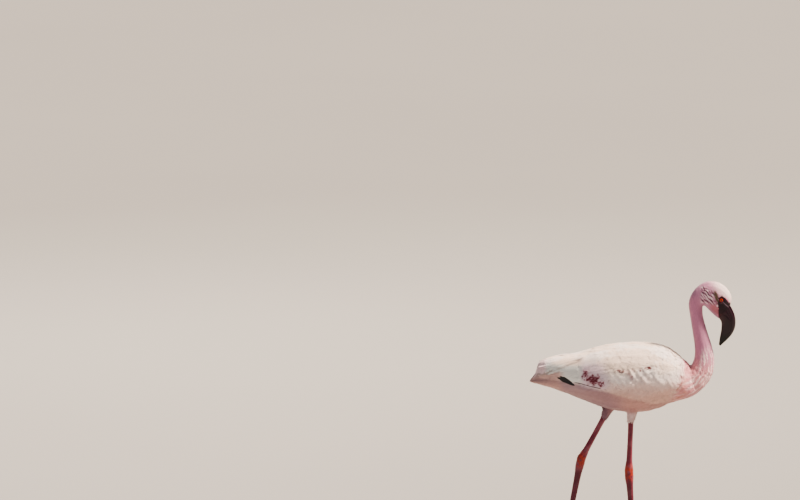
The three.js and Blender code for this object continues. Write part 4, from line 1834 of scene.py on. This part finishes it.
@dataclass
class FineCoat:
    """The plumage that is scattered over the shell: head, neck, breast, belly, back, wings and thighs."""

    shell: Shell
    skin: Skin
    markings: Markings
    # Sizes in mm, each row a place and the spacing, length, width and lift there. From the bill back, by the
    # distance from its root:
    head_to_breast: Table = (
        (0, 0.70, 2.2, 1.1, 0.04), (30, 0.80, 3.2, 1.3, 0.06), (60, 0.92, 4.6, 1.5, 0.10),
        (90, 1.02, 5.6, 1.75, 0.08), (150, 1.12, 6.8, 2.0, 0.08), (215, 1.25, 8.0, 2.4, 0.12),
        (250, 1.45, 10.0, 2.9, 0.30), (320, 1.9, 13.0, 4.0, 0.5), (360, 2.2, 15.0, 4.8, 0.5))
    # And from the tail forward, by x:
    tail_to_breast: Table = (
        (-230, 2.4, 6, 5.0, 0.1), (-212, 3.0, 18, 7.5, 0.2), (-190, 3.4, 28, 9.5, 0.3),
        (-160, 3.4, 30, 9.5, 0.4), (-60, 3.2, 24, 9.0, 0.35), (60, 2.9, 20, 8.0, 0.3),
        (95, 2.5, 17, 6.5, 0.3), (130, 2.1, 15, 5.2, 0.45))
    mantle: Table = ((-150, 4.2, 46, 11, 0.4), (-60, 4.0, 42, 10.5, 0.3), (20, 3.5, 32, 9.0, 0.2),
                     (80, 2.9, 22, 7.2, 0.12))
    covert: Table = ((-140, 4.2, 36, 12, 0.4), (-60, 3.9, 31, 10.5, 0.4), (20, 3.3, 24, 8.5, 0.35),
                     (90, 2.8, 18, 7.0, 0.15), (125, 2.4, 15, 5.6, 0.7))
    thigh: Table = ((0, 1.7, 12.0, 2.4, 0.8),)
    thigh_top: float = 337.0  # z above which the belly's feathers also grow on the thighs
    rank_step: float = 5.5  # from one feather of a rank to the next
    rank_depth: float = 2.5

    def grown(self, rows: Rows, table: Table, seed: int) -> Roots:
        """Scatters the roots of one tract, lying back along the spine.

        Args:
            rows: True for the shell's vertices that it covers.
            table: Its sizes.
            seed: The draw.

        Returns:
            The roots.
        """
        places, rise = self.shell.scatter(rows, lambda p: self.sizes(p, table)[0], seed)
        flat = places / MM
        _, length, width, lift = self.sizes(flat, table)
        rng = np.random.default_rng(seed + 1)
        length = length * rng.uniform(0.8, 1.2, len(flat))
        faces = [self.shell.tree.find_nearest(p)[2] for p in places.tolist()]
        depth = self.skin.depth[self.shell.quads[faces, 0]] / MM
        lie = laid(rise, -self.markings.spine.locate(flat)[1])
        return Roots(places, rise, lie, length, width * rng.uniform(0.85, 1.15, len(flat)), depth,
                     lift * rng.uniform(0.0, 2.0, len(flat)), rng.normal(0, 0.07, len(flat)) * length)

    def sizes(self, places: Rows, table: Table) -> list[Rows]:
        """Sizes read off a table; the feathers are ruffled low on the front of the neck.

        Args:
            places: Rows in mm.
            table: The table.

        Returns:
            Spacing, length, width and lift at each place.
        """
        columns = np.array(table, float).T
        if table is not self.head_to_breast:
            return [np.interp(places[:, 0], columns[0], column) for column in columns[1:]]
        along, _, turn = self.markings.spine.locate(places)
        back = self.markings.spine.length - along
        spacing, length, width, lift = (np.interp(back, columns[0], column) for column in columns[1:])
        ruffled = ramp(back, 200, 240) * ramp(back, 330, 290) * ramp(np.abs(turn), 0.9, 1.6)
        return [spacing, length * (1 + 0.3 * ruffled), width, lift * (1 + 1.5 * ruffled)]

    def head_and_neck(self) -> dict[str, Roots]:
        """Plants head and neck.

        Returns:
            The roots of head, upper neck and lower neck, by piece name.
        """
        marks = self.markings
        rows = self.shell.on("head", "neck_upper", "neck_middle", "neck_lower")
        roots = self.grown(rows, self.head_to_breast, 40)
        flat = roots.place / MM
        x, y, z = flat.T
        along, ahead, _ = marks.spine.locate(flat)
        back = marks.spine.length - along
        # On the nape and cheek they lie up and back, against the streaks.
        gx, gz = marks.streak_heading
        cheek = ramp(x, 150, 160) * ramp(x, 196, 184) * ramp(z, 560, 575) * ramp(np.abs(y), 4, 9)
        roots.comb(blend(-ahead, np.array([-gx, 0.0, -gz]), 0.7 * cheek))
        off_eye = np.hypot(x - marks.eye[0], z - marks.eye[1])
        covered = marks.bareness(flat) < 0.5
        covered &= ((off_eye > 6.5) | (np.abs(y) < 8)) & outside_of(roots.place, ("bill_upper", "bill_lower"))
        return {"head_plumage": roots.pick(covered & (back < 82)),
                "upper_neck_plumage": roots.pick(covered & (back >= 82) & (back < 215)),
                "lower_neck_plumage": roots.pick(covered & (back >= 215))}

    @staticmethod
    def back_border(x: Rows) -> Rows:
        """The height of the line along the flank where the scapulars begin, in mm."""
        return 441 + 0.9 * np.maximum(x - 30, 0)

    def on_back(self) -> Rows:
        """True for the shell's vertices that the scapulars cover: above that line."""
        x, _, z = self.shell.places.T / MM
        return (z > self.back_border(x)) & (x > -160) & (x < 84)

    def body(self) -> dict[str, Roots]:
        """Plants breast, belly and rump.

        Returns:
            Their roots, by piece name.
        """
        rows = self.shell.on("trunk", "tail") & ~self.on_back()
        rows |= self.shell.on("thigh_right", "thigh_left") & (self.shell.places[:, 2] > self.thigh_top * MM)
        roots = self.grown(rows, self.tail_to_breast, 60)
        front = roots.place[:, 0] > 20 * MM
        return {"breast_plumage": roots.pick(front), "belly_plumage": roots.pick(~front)}

    def back(self) -> Roots:
        """Plants mantle and scapulars, which hang further down the nearer they are to the rump.

        Returns:
            Their roots.
        """
        rows = self.shell.on("trunk", "wing_right", "wing_left") & self.on_back()
        roots = self.grown(rows, self.mantle, 65)
        slope = np.interp(roots.place[:, 0] / MM, (-150, -90, 0, 80), (0.5, 0.36, 0.14, 0.1))
        side = np.sign(roots.place[:, 1])
        return roots.comb(np.stack([-np.ones(len(side)), 0.35 * slope * side, -slope], 1))

    def coverts(self, side: Side) -> Roots:
        """The roots of one wing's coverts, which point down and back and grow longer to the rear.

        Args:
            side: Which wing.

        Returns:
            The roots.
        """
        rows = self.shell.on(f"wing_{SIDE_NAMES[side]}") & ~self.on_back()
        roots = self.grown(rows, self.covert, 80 + side.value)
        flat = roots.place / MM
        x, _, z = flat.T
        # They slant most in the middle of the flank, and run near level at the rear and at both edges.
        middle = ramp(x, -105, -40) * ramp(z, 362, 392) * ramp(self.back_border(x) - z, 0, 24)
        fall = np.radians(7 + 33 * middle + 3 * waves(flat, 30, 63))
        roots.comb(np.stack([-np.cos(fall), np.zeros(len(x)), -np.sin(fall)], 1))
        ruffled = ramp(x, -70, -50) * ramp(x, 30, 5) * ramp(z, 382, 396) * ramp(z, 448, 436)
        roots.lift = roots.lift * (1 + 1.2 * ruffled)
        return Roots.join([roots, self.ranks(side)])

    def ranks(self, side: Side) -> Roots:
        """Rows of one wing's coverts whose tips end along the creases, a little proud of what lies past them.

        Args:
            side: Which wing.

        Returns:
            The roots.
        """
        rng = np.random.default_rng(90 + side.value)
        rows = []
        for crease in self.shell.creases:
            start, end = np.array(crease.start), np.array(crease.end)
            span = np.linalg.norm(end - start)
            ahead = np.array([-(end - start)[1], (end - start)[0]]) / span
            for share in np.linspace(0, 1, round(span / self.rank_step) + 1) if crease.rank else ():
                x, z = start + share * (end - start) + rng.normal(0, 0.8, 2) - ahead * crease.rank
                found = self.shell.beside(x, z, side)
                if found:
                    lift = crease.depth * (0.3 + 0.7 * 4 * share * (1 - share))
                    rows.append((*found, (ahead[0], 0.0, ahead[1]), crease.rank * rng.uniform(0.94, 1.06),
                                 lift, rng.normal(0, 0.04) * crease.rank, crease.over))
        place, rise, heading, length, lift, sweep, over = (np.array(c) for c in zip(*rows))
        width, lie = 0.45 * length, laid(rise, heading)
        return Roots(place, rise, lie, length, width, self.rank_depth, lift, sweep, over=over)

    def thighs(self) -> Roots:
        """Plants the thighs, whose plumes hang down, the lowest loose over the bare leg.

        Returns:
            Their roots.
        """
        roots = self.grown(self.shell.on("thigh_right", "thigh_left"), self.thigh, 70)
        ahead = self.markings.spine.locate(roots.place / MM)[1]
        roots.comb(np.array([-0.25, 0.0, -1.0]) - 0.2 * ahead)
        hem = np.where(roots.place[:, 1] < 0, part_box("thigh_right")[0].z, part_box("thigh_left")[0].z)
        above = (roots.place[:, 2] - hem) / MM
        roots.free = 0.9 * ramp(above, 16, 8)
        return roots.pick(above > 3.0)


@dataclass(frozen=True)
class Bank:
    """A row of long vanes on the folded wing."""

    count: int
    start: Pair  # x and z of the first root
    end: Pair  # and of the last one
    length: Pair  # of the first vane and of the last
    width: float
    slope: Pair  # degrees that they point below straight back
    lift: Pair  # how far their tips stand off
    seed: int
    depth: float = 3.0  # how deep they are rooted
    free: float = 0.0  # how far the tips leave the bird's surface and run straight on
    over: float = 0.0  # how far the first lies over the surface for its whole length
    step: float = 0.0  # how much further each next one does

    def roots(self, shell: Shell, side: Side) -> Roots:
        """Plants the row.

        Args:
            shell: Where.
            side: On which wing.

        Returns:
            The roots.
        """
        rng = np.random.default_rng(self.seed + side.value)
        rows = []
        first = np.array([*self.start, self.length[0], self.slope[0], self.lift[0]])
        last = np.array([*self.end, self.length[1], self.slope[1], self.lift[1]])
        for share in np.linspace(0, 1, self.count):
            x, z, long, fall, rise = first + (last - first) * share
            found = shell.beside(x + rng.normal(0, 1.2), z + rng.normal(0, 0.6), side)
            fall = math.radians(fall + rng.normal(0, 1.0))
            if found:
                rows.append((*found, (-math.cos(fall), 0.0, -math.sin(fall)), long * rng.uniform(0.96, 1.04),
                             rise, rng.normal(0, 0.012) * long))
        place, outward, heading, long, rise, sweep = (np.array(c) for c in zip(*rows))
        return Roots(place, outward, laid(outward, heading), long, self.width, self.depth, rise, sweep,
                     self.free, self.over + self.step * np.arange(len(rows)))


@dataclass
class Wing:
    """The long feathers of one folded wing."""

    shell: Shell
    side: Side
    # Greater coverts, tertials, the drooping plumes over the rump, and a few that stand off it.
    pale: tuple[Bank, ...] = (
        Bank(8, (-64, 402), (-56, 442), (46, 56), 14, (0, 10), (0.3, 0.4), 310, over=1.5, step=0.12),
        Bank(8, (-72, 404), (-66, 442), (50, 56), 14, (-2, 8), (0.2, 0.3), 315, over=1.2, step=0.12),
        Bank(9, (-90, 410), (-78, 444), (84, 98), 15, (-7, 6), (0.1, 0.2), 320, over=0.7, step=0.15),
        Bank(8, (-84, 446), (-74, 468), (98, 110), 17, (15, 21), (0.3, 0.8), 330, over=2.0, step=0.2),
        Bank(7, (-112, 442), (-104, 464), (88, 98), 16, (17, 25), (0.3, 0.8), 335, over=1.5, step=0.2),
        Bank(6, (-136, 436), (-130, 458), (68, 76), 14, (12, 22), (0.4, 0.8), 338, over=1.0, step=0.25),
        Bank(4, (-172, 440), (-168, 450), (44, 48), 4.5, (-6, 14), (0.5, 2.0), 340, free=0.7, over=0.8))
    # The black flight feathers, of which a sliver shows under the pale ones.
    black: tuple[Bank, ...] = (
        Bank(1, (-56, 391), (-56, 391), (80, 80), 2.0, (-8.5, -8.5), (0.0, 0.0), 410, 1.0, over=1.2),
        Bank(2, (-131, 399), (-139, 404), (44, 36), 7.5, (-22, -26), (0.0, 0.2), 412, 1.0, over=1.7))

    def long_feathers(self) -> Roots:
        """The roots of the pale long feathers."""
        return Roots.join([bank.roots(self.shell, self.side) for bank in self.pale])

    def primaries(self) -> Roots:
        """The roots of the black ones."""
        return Roots.join([bank.roots(self.shell, self.side) for bank in self.black])


@dataclass
class Tail:
    """The short stiff tail: a fan of vanes on its lower face and along each side."""

    shell: Shell
    feathers: int = 6  # on each side of the middle one
    length: float = 58.0
    width: float = 13.0
    depth: float = 3.0  # how deep they are rooted
    root_x: float = -172.0
    half_span: float = 22.0
    flank: tuple[float, ...] = (401.0, 405.0, 409.0, 413.0)  # heights of the roots on each side

    def roots(self) -> Roots:
        """Plants the fan: on its lower face, and on each side where it comes out under the rump.

        Returns:
            Its roots.
        """
        rows = []
        rng = np.random.default_rng(500)
        for i in range(-self.feathers, self.feathers + 1):
            spread = i / self.feathers
            found = self.shell.hit((self.root_x, spread * self.half_span, 300.0), (0.0, 0.0, 1.0))
            if found:
                rows.append((*found, (-1.0, -0.13 * spread, 0.0), self.length * (1 - 0.1 * abs(spread)), 0.1))
        for side in Side:
            for i, z in enumerate(self.flank):
                found = self.shell.beside(self.root_x, z, side)
                rows.append((*found, (-1.0, 0.0, -0.04 * i), self.length * (0.97 - 0.04 * i), 0.2 + 0.2 * i))
        place, rise, heading, length, over = (np.array(c) for c in zip(*rows))
        length = length * rng.uniform(0.97, 1.03, len(rows))
        return Roots(place, rise, laid(rise, heading), length, self.width, self.depth,
                     rng.uniform(-0.2, 0.4, len(place)), free=0.1, over=over)


# ---- Head pieces


@dataclass
class Bill:
    """The bent bill, from inside the face to its tip, as two mandibles."""

    # Stations: culmen x and z, throat x and z, half the width between them, and the share of the depth that
    # the upper mandible takes.
    stations: Table = (
        (213, 579, 189, 554, 11.2, 0.66), (219, 571.5, 193.6, 544, 12.4, 0.62),
        (225.3, 560, 197.8, 537, 12.4, 0.5), (229.6, 548, 199, 529.5, 12, 0.4),
        (231, 533.6, 198.6, 521, 11.2, 0.35), (228.6, 519.5, 198, 513.5, 10, 0.35),
        (222, 506.5, 196.6, 506, 8.4, 0.39), (213, 496, 195.4, 499, 6.4, 0.45),
        (204, 487.5, 194.4, 491.5, 4.2, 0.5), (197, 481, 193.5, 483.5, 2, 0.52))
    squareness: float = 0.88
    gap: float = 0.22
    steps: int = 150
    around: int = 48  # faces round the outside of a section
    inside: int = 12  # and across its side in the gape
    teeth: float = 4.0  # steps from one tooth of the comb along the gape to the next
    tooth: float = 0.05  # height of a tooth
    ridge: float = 0.13  # from one ridge at the root to the next, as a share of the depth
    ridge_height: float = 1.2
    nostril: Pair = (2.35, 0.30)  # its station, and how far down, as a share of the depth
    nostril_size: Pair = (0.75, 0.055)  # its length in stations, and its width as a share of the depth
    nostril_depth: Pair = (0.9, 0.25)  # of the slit, and of the groove that it lies in
    furrow: float = 0.2  # depth of the furrow beside the gape
    arch: Pair = (1.7, 1.2)  # how high the gape's inside bows up, on the upper and on the lower mandible
    root: str = "#301321"
    shaft: str = "#200d17"
    red: str = "#3a131e"
    tip: str = "#0b0809"

    def mandible(self, upper: bool) -> Mesh:
        """Makes one mandible as a closed mesh.

        Args:
            upper: True for the upper one.

        Returns:
            The mandible, with its colours.
        """
        places = []
        for i, station in enumerate(np.linspace(0, len(self.stations) - 1, self.steps + 1)):
            ux, uz, lx, lz, half, share = curve_through(np.array(self.stations), np.array([station]))[0]
            top, low = np.array([ux, 0, uz]), np.array([lx, 0, lz])
            middle, rise = (top + low) / 2, (top - low) / 2
            depth = 2 * np.linalg.norm(rise)
            level = 1 - 2 * share + (self.gap / depth) * (1 if upper else -1)
            cut = math.acos(max(-1.0, min(1.0, math.copysign(abs(level) ** (1 / self.squareness), level))))
            first, end = (-cut, cut) if upper else (cut, 2 * math.pi - cut)
            for k in range(self.around + 1):
                angle = first + (end - first) * k / self.around
                on_rim = k in (0, self.around)
                wave = self.tooth * math.cos(i * 2 * math.pi / self.teeth)
                comb = wave - 2 * self.tooth if on_rim else 0.0
                places.append(self.outside(middle, rise, half, angle, station, share, comb))
            edge_a, edge_b = places[-1], places[-1 - self.around]
            for t in np.arange(1, self.inside) / self.inside:
                # The lower mandible's floor arches up into the upper one, so the gape lets no light through.
                bow = self.arch[not upper] * math.sin(math.pi * t) ** 0.6 * min(1.0, half / 6)
                places.append(edge_a + (edge_b - edge_a) * t + rise / np.linalg.norm(rise) * bow)
        rows = np.array(places)
        ring = self.around + self.inside
        faces = []
        for i in range(0, self.steps * ring, ring):
            rounds = [(i + k, i + (k + 1) % ring) for k in range(ring)]
            faces += [(a, b, b + ring, a + ring) for a, b in rounds]
        faces += [tuple(range(ring))[::-1], tuple(range(self.steps * ring, (self.steps + 1) * ring))]
        mesh = mesh_from("bill", rows * MM, faces)
        work = bmesh.new()
        work.from_mesh(mesh)
        bmesh.ops.triangulate(work, faces=[f for f in work.faces if len(f.verts) > 4])
        bmesh.ops.recalc_face_normals(work, faces=work.faces)
        work.to_mesh(mesh)
        work.free()
        put_tone(mesh, self.tone(rows))
        return mesh

    def outside(self, middle: Rows, rise: Rows, half: float, angle: float, station: float, share: float,
                comb: float) -> Rows:
        """A place on the outside of the bill, in mm.

        Args:
            middle: The section's middle.
            rise: The half-depth vector to the culmen.
            half: Half the width.
            angle: Round the section from the culmen.
            station: The section's number.
            share: The gape's share of the depth.
            comb: How far a lamella of the gape's rim stands out there.

        Returns:
            The place.
        """
        c = math.copysign(abs(math.cos(angle)) ** self.squareness, math.cos(angle))
        s = math.copysign(abs(math.sin(angle)) ** self.squareness, math.sin(angle))
        down = (1 - c) / 2  # 0 on the culmen, 1 at the throat
        # Three soft ridges run from the face along the culmen's flank and die out by the bend.
        ridges = float(ramp(station, 3.6, 1.2)) * math.cos(2 * math.pi * (down - 0.03) / self.ridge)
        swell = comb + self.ridge_height * ridges * float(ramp(down, 0.5, 0.36))
        # The nostril: a long slit in a shallow groove.
        slit = math.hypot((station - self.nostril[0]) / self.nostril_size[0],
                          (down - self.nostril[1]) / self.nostril_size[1])
        deep, shallow = self.nostril_depth
        swell -= deep * float(ramp(slit, 1.25, 0.5)) + shallow * float(ramp(slit, 2.6, 1.2))
        swell -= self.furrow * float(ramp(abs(down - share), 0.12, 0.02)) * float(ramp(station, 0.8, 1.6))
        deepest = np.linalg.norm(rise)
        out = unit(rise / deepest * c * half + np.array([0, s, 0]) * deepest)
        return middle + rise * c + np.array([0.0, half * s, 0.0]) + out * swell

    def tone(self, places: Rows) -> Rows:
        """The horn's colour: maroon, redder at the lower root, black to the tip.

        Args:
            places: Rows in mm.

        Returns:
            Linear colours.
        """
        x, _, z = places.T
        return layered(even(self.root, len(x)), (self.shaft, ramp(z, 560, 535)),
                       (self.red, 0.5 * ramp(x, 214, 202) * ramp(z, 520, 545)),
                       (self.tip, ramp(z + 1.5 * waves(places, 6, 51), 511, 500)))

    def build(self) -> None:
        """Builds both mandibles and sets them in the frame."""
        finish = BillHorn("polished_bill_horn", roughness=0.3, coat=0.2, ior=1.54, specular=0.35).build()
        for upper, node in ((True, "bill_upper"), (False, "bill_lower")):
            mesh = self.mandible(upper)
            mesh.materials.append(finish)
            hand_in(f"{node}_horn", mesh, Slot.HORN, node)


@dataclass
class Eyes:
    """The eyeballs, each with a cornea that bulges a little over the iris."""

    finish: WetEye = WetEye("wet_eyeball", roughness=0.05, coat=0.6, ior=1.38)
    bulge: float = 0.35
    cornea: Pair = (4.4, 1.5)  # off the eye's axis, where it begins to rise and where it is highest
    inset: float = 0.05  # of the ball in its solid

    def build(self) -> None:
        """Builds both eyes and sets them in the frame."""
        material = self.finish.build()
        for side, name in SIDE_NAMES.items():
            low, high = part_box(f"eye_{name}")
            radius = (high.z - low.z) / 2 / MM
            work = bmesh.new()
            bmesh.ops.create_icosphere(work, subdivisions=5, radius=1.0)
            mesh = baked(work)
            ball = unit(places_of(mesh))
            facing = ball @ np.array([math.sin(LEAN), side.value * math.cos(LEAN), 0.0])
            off = radius * np.sin(np.arccos(np.clip(facing, -1, 1)))
            off[facing < 0] = radius
            bulge = self.bulge * ramp(off, *self.cornea) * (facing > 0)
            ball *= (radius - self.inset + bulge - self.bulge * 0.5)[:, None]
            set_places(mesh, np.array((low + high) / 2) + ball * MM)
            mesh.shade_smooth()
            put_attribute(mesh, "off_axis", "FLOAT", off / self.finish.span)
            mesh.materials.append(material)
            hand_in(f"eye_{name}ball", mesh, Slot.EYE, f"eye_{name}")


@dataclass
class Claws:
    """The blunt claws, smoothed from their solids."""

    voxel: float = 0.22
    tone: str = "#2b1a1b"

    def build(self) -> None:
        """Builds each claw and sets it in the frame."""
        finish = BillHorn("dull_claw_horn", roughness=0.45, ior=1.54).build()
        for node in (f"claw_{claw}_{name}" for name in SIDE_NAMES.values() for claw in CLAWS):
            mesh = fused([node], self.voxel, 0.0)
            places = relax(places_of(mesh), edges_of(mesh), 12, 0.5, 0.45)
            set_places(mesh, places)
            put_tone(mesh, even(self.tone, len(places)))
            mesh.shade_smooth()
            mesh.materials.clear()
            mesh.materials.append(finish)
            hand_in(f"{node}_horn", mesh, Slot.CLAW, node)


@dataclass(frozen=True)
class Lamp:
    """A soft light: a square one near the bird, or the sun, which lights bird and floor alike."""

    name: str
    place: Triple  # in metres, or where the sun stands
    power: float  # in watts, or watts a square metre for the sun
    colour: str
    size: float = 0.0  # a square one's side, in metres
    sun_width: float = 9.0  # the sun's, in degrees
    aim: Triple = (0.0, 0.0, 0.42)  # where a square one points

    def build(self) -> None:
        """Hangs the light."""
        lamp = bpy.data.lights.new(self.name, "AREA" if self.size else "SUN")
        lamp.energy, lamp.color = self.power, linear(self.colour)[:3]
        if self.size:
            lamp.shape, lamp.size = "SQUARE", self.size
        else:
            lamp.angle = math.radians(self.sun_width)
        held = new_object(self.name, lamp)
        held.location = self.place if self.size else (0, 0, 0)
        heading = Vector(self.aim) - Vector(self.place) if self.size else -Vector(self.place)
        held.rotation_euler = heading.to_track_quat("-Z", "Y").to_euler()


# ---- The studio


@dataclass
class Studio:
    """A pale floor, soft lights and the camera, in metres."""

    aim: Triple = (-0.5253, 0.0, 0.6994)
    distance: float = 18.0
    elevation: float = 9.0  # degrees
    lens: float = 360.0  # mm
    sensor: float = 36.0  # mm wide
    floor_radius: float = 60.0
    sky: str = "#dfe1e6"
    sky_light: float = 0.27
    lamps: tuple[Lamp, ...] = (
        Lamp("key", (3.0, -0.2, 3.4), 8.2, "#ffecda"), Lamp("fill", (-1.2, -3.8, 2.0), 19, "#e6e9ff", 2.6),
        Lamp("rim", (-1.2, 3.4, 2.8), 90, "#fff2e4", 1.6))

    def floor(self) -> None:
        """A round floor, wide enough to fill the view."""
        work = bmesh.new()
        bmesh.ops.create_circle(work, cap_ends=True, segments=96, radius=self.floor_radius)
        mesh = baked(work)
        mesh.materials.append(StudioPaint("painted_floor", roughness=0.85, specular=0.2).build())
        new_object("floor", mesh)

    def build(self) -> None:
        """Sets floor, lights, sky and camera."""
        self.floor()
        for lamp in self.lamps:
            lamp.build()
        scene = bpy.context.scene
        scene.world = bpy.data.worlds.new("studio")
        scene.world.use_nodes = True
        sky = scene.world.node_tree.nodes["Background"].inputs
        sky["Color"].default_value, sky["Strength"].default_value = linear(self.sky), self.sky_light
        scene.view_settings.look = "AgX - Medium High Contrast"
        camera = bpy.data.cameras.new("camera")
        camera.lens, camera.sensor_width = self.lens, self.sensor
        camera.clip_start, camera.clip_end = 0.5, 200.0
        held = scene.camera = new_object("camera", camera)
        tilt = math.radians(self.elevation)
        aim = Vector(self.aim)
        held.location = aim + Vector((0, -math.cos(tilt), math.sin(tilt))) * self.distance
        held.rotation_euler = (aim - held.location).to_track_quat("-Z", "Y").to_euler()


# ---- The whole bird


def main() -> None:
    """Builds the studio and the bird, piece by piece."""
    Studio().build()
    marks = Markings()
    shell = Shell(marks)
    LOG.info("shell: %d vertices", len(shell.places))
    skin = Skin(shell, marks)
    for part in (skin, Bill(), Eyes(), Claws()):
        part.build()

    plumage = Plumage(shell, marks)
    soft, velvet, long, black = (finish.build() for finish in (
        FeatherVane("contour_feather_vane", 0.85, sheen=0.2, fringe=0.08, light=(0.91, 1.02)),
        FeatherVane("neck_feather_vane", 0.85, sheen=0.3, barbs=6.0, light=(0.9, 1.07)),
        FeatherVane("long_feather_vane", 0.75, sheen=0.15, barbs=42.0, shaft=0.12, fringe=0.14,
                    light=(0.84, 1.0)),
        FeatherVane("black_flight_feather_vane", 0.5, barbs=48.0, shaft=0.1)))
    coat = FineCoat(shell, skin, marks)
    for number, (name, roots) in enumerate(coat.head_and_neck().items()):
        plumage.grow(name, roots, Tract(SMALL_VANE, velvet, 700 + number, 0.12, 0.06, by_vane=True), "head")
    for name, roots in coat.body().items():
        plumage.grow(name, roots, Tract(BODY_VANE, soft, 710, 0.16, 0.02), "trunk")
    plumage.grow("back_plumage", coat.back(), Tract(BODY_VANE, soft, 715, 0.10, 0.02), "trunk")
    plumage.grow("thigh_plumage", coat.thighs(), Tract(SMALL_VANE, velvet, 711, 0.25, 0.1),
                 "thigh_right", "thigh_left")
    for side, name in SIDE_NAMES.items():
        wing, node = Wing(shell, side), f"wing_{name}"
        plumage.grow(f"wing_coverts_{name}", coat.coverts(side),
                     Tract(BODY_VANE, soft, 720, 0.14, 0.02, stained=True), node)
        plumage.grow(f"long_feathers_{name}", wing.long_feathers(),
                     Tract(LONG_VANE, long, 730, 0.02, 0.006, stained=True), node)
        plumage.grow(f"primaries_{name}", wing.primaries(),
                     Tract(LONG_VANE, black, 750, 0.01, 0.004, Slot.FLIGHT, tone="#171417"), node)
    plumage.grow("tail_fan", Tail(shell).roots(), Tract(LONG_VANE, long, 760, 0.02, 0.006), "tail")
    discard(shell.guide)


if __name__ == "__main__":
    logging.basicConfig(level=logging.INFO, format="%(message)s")
    main()
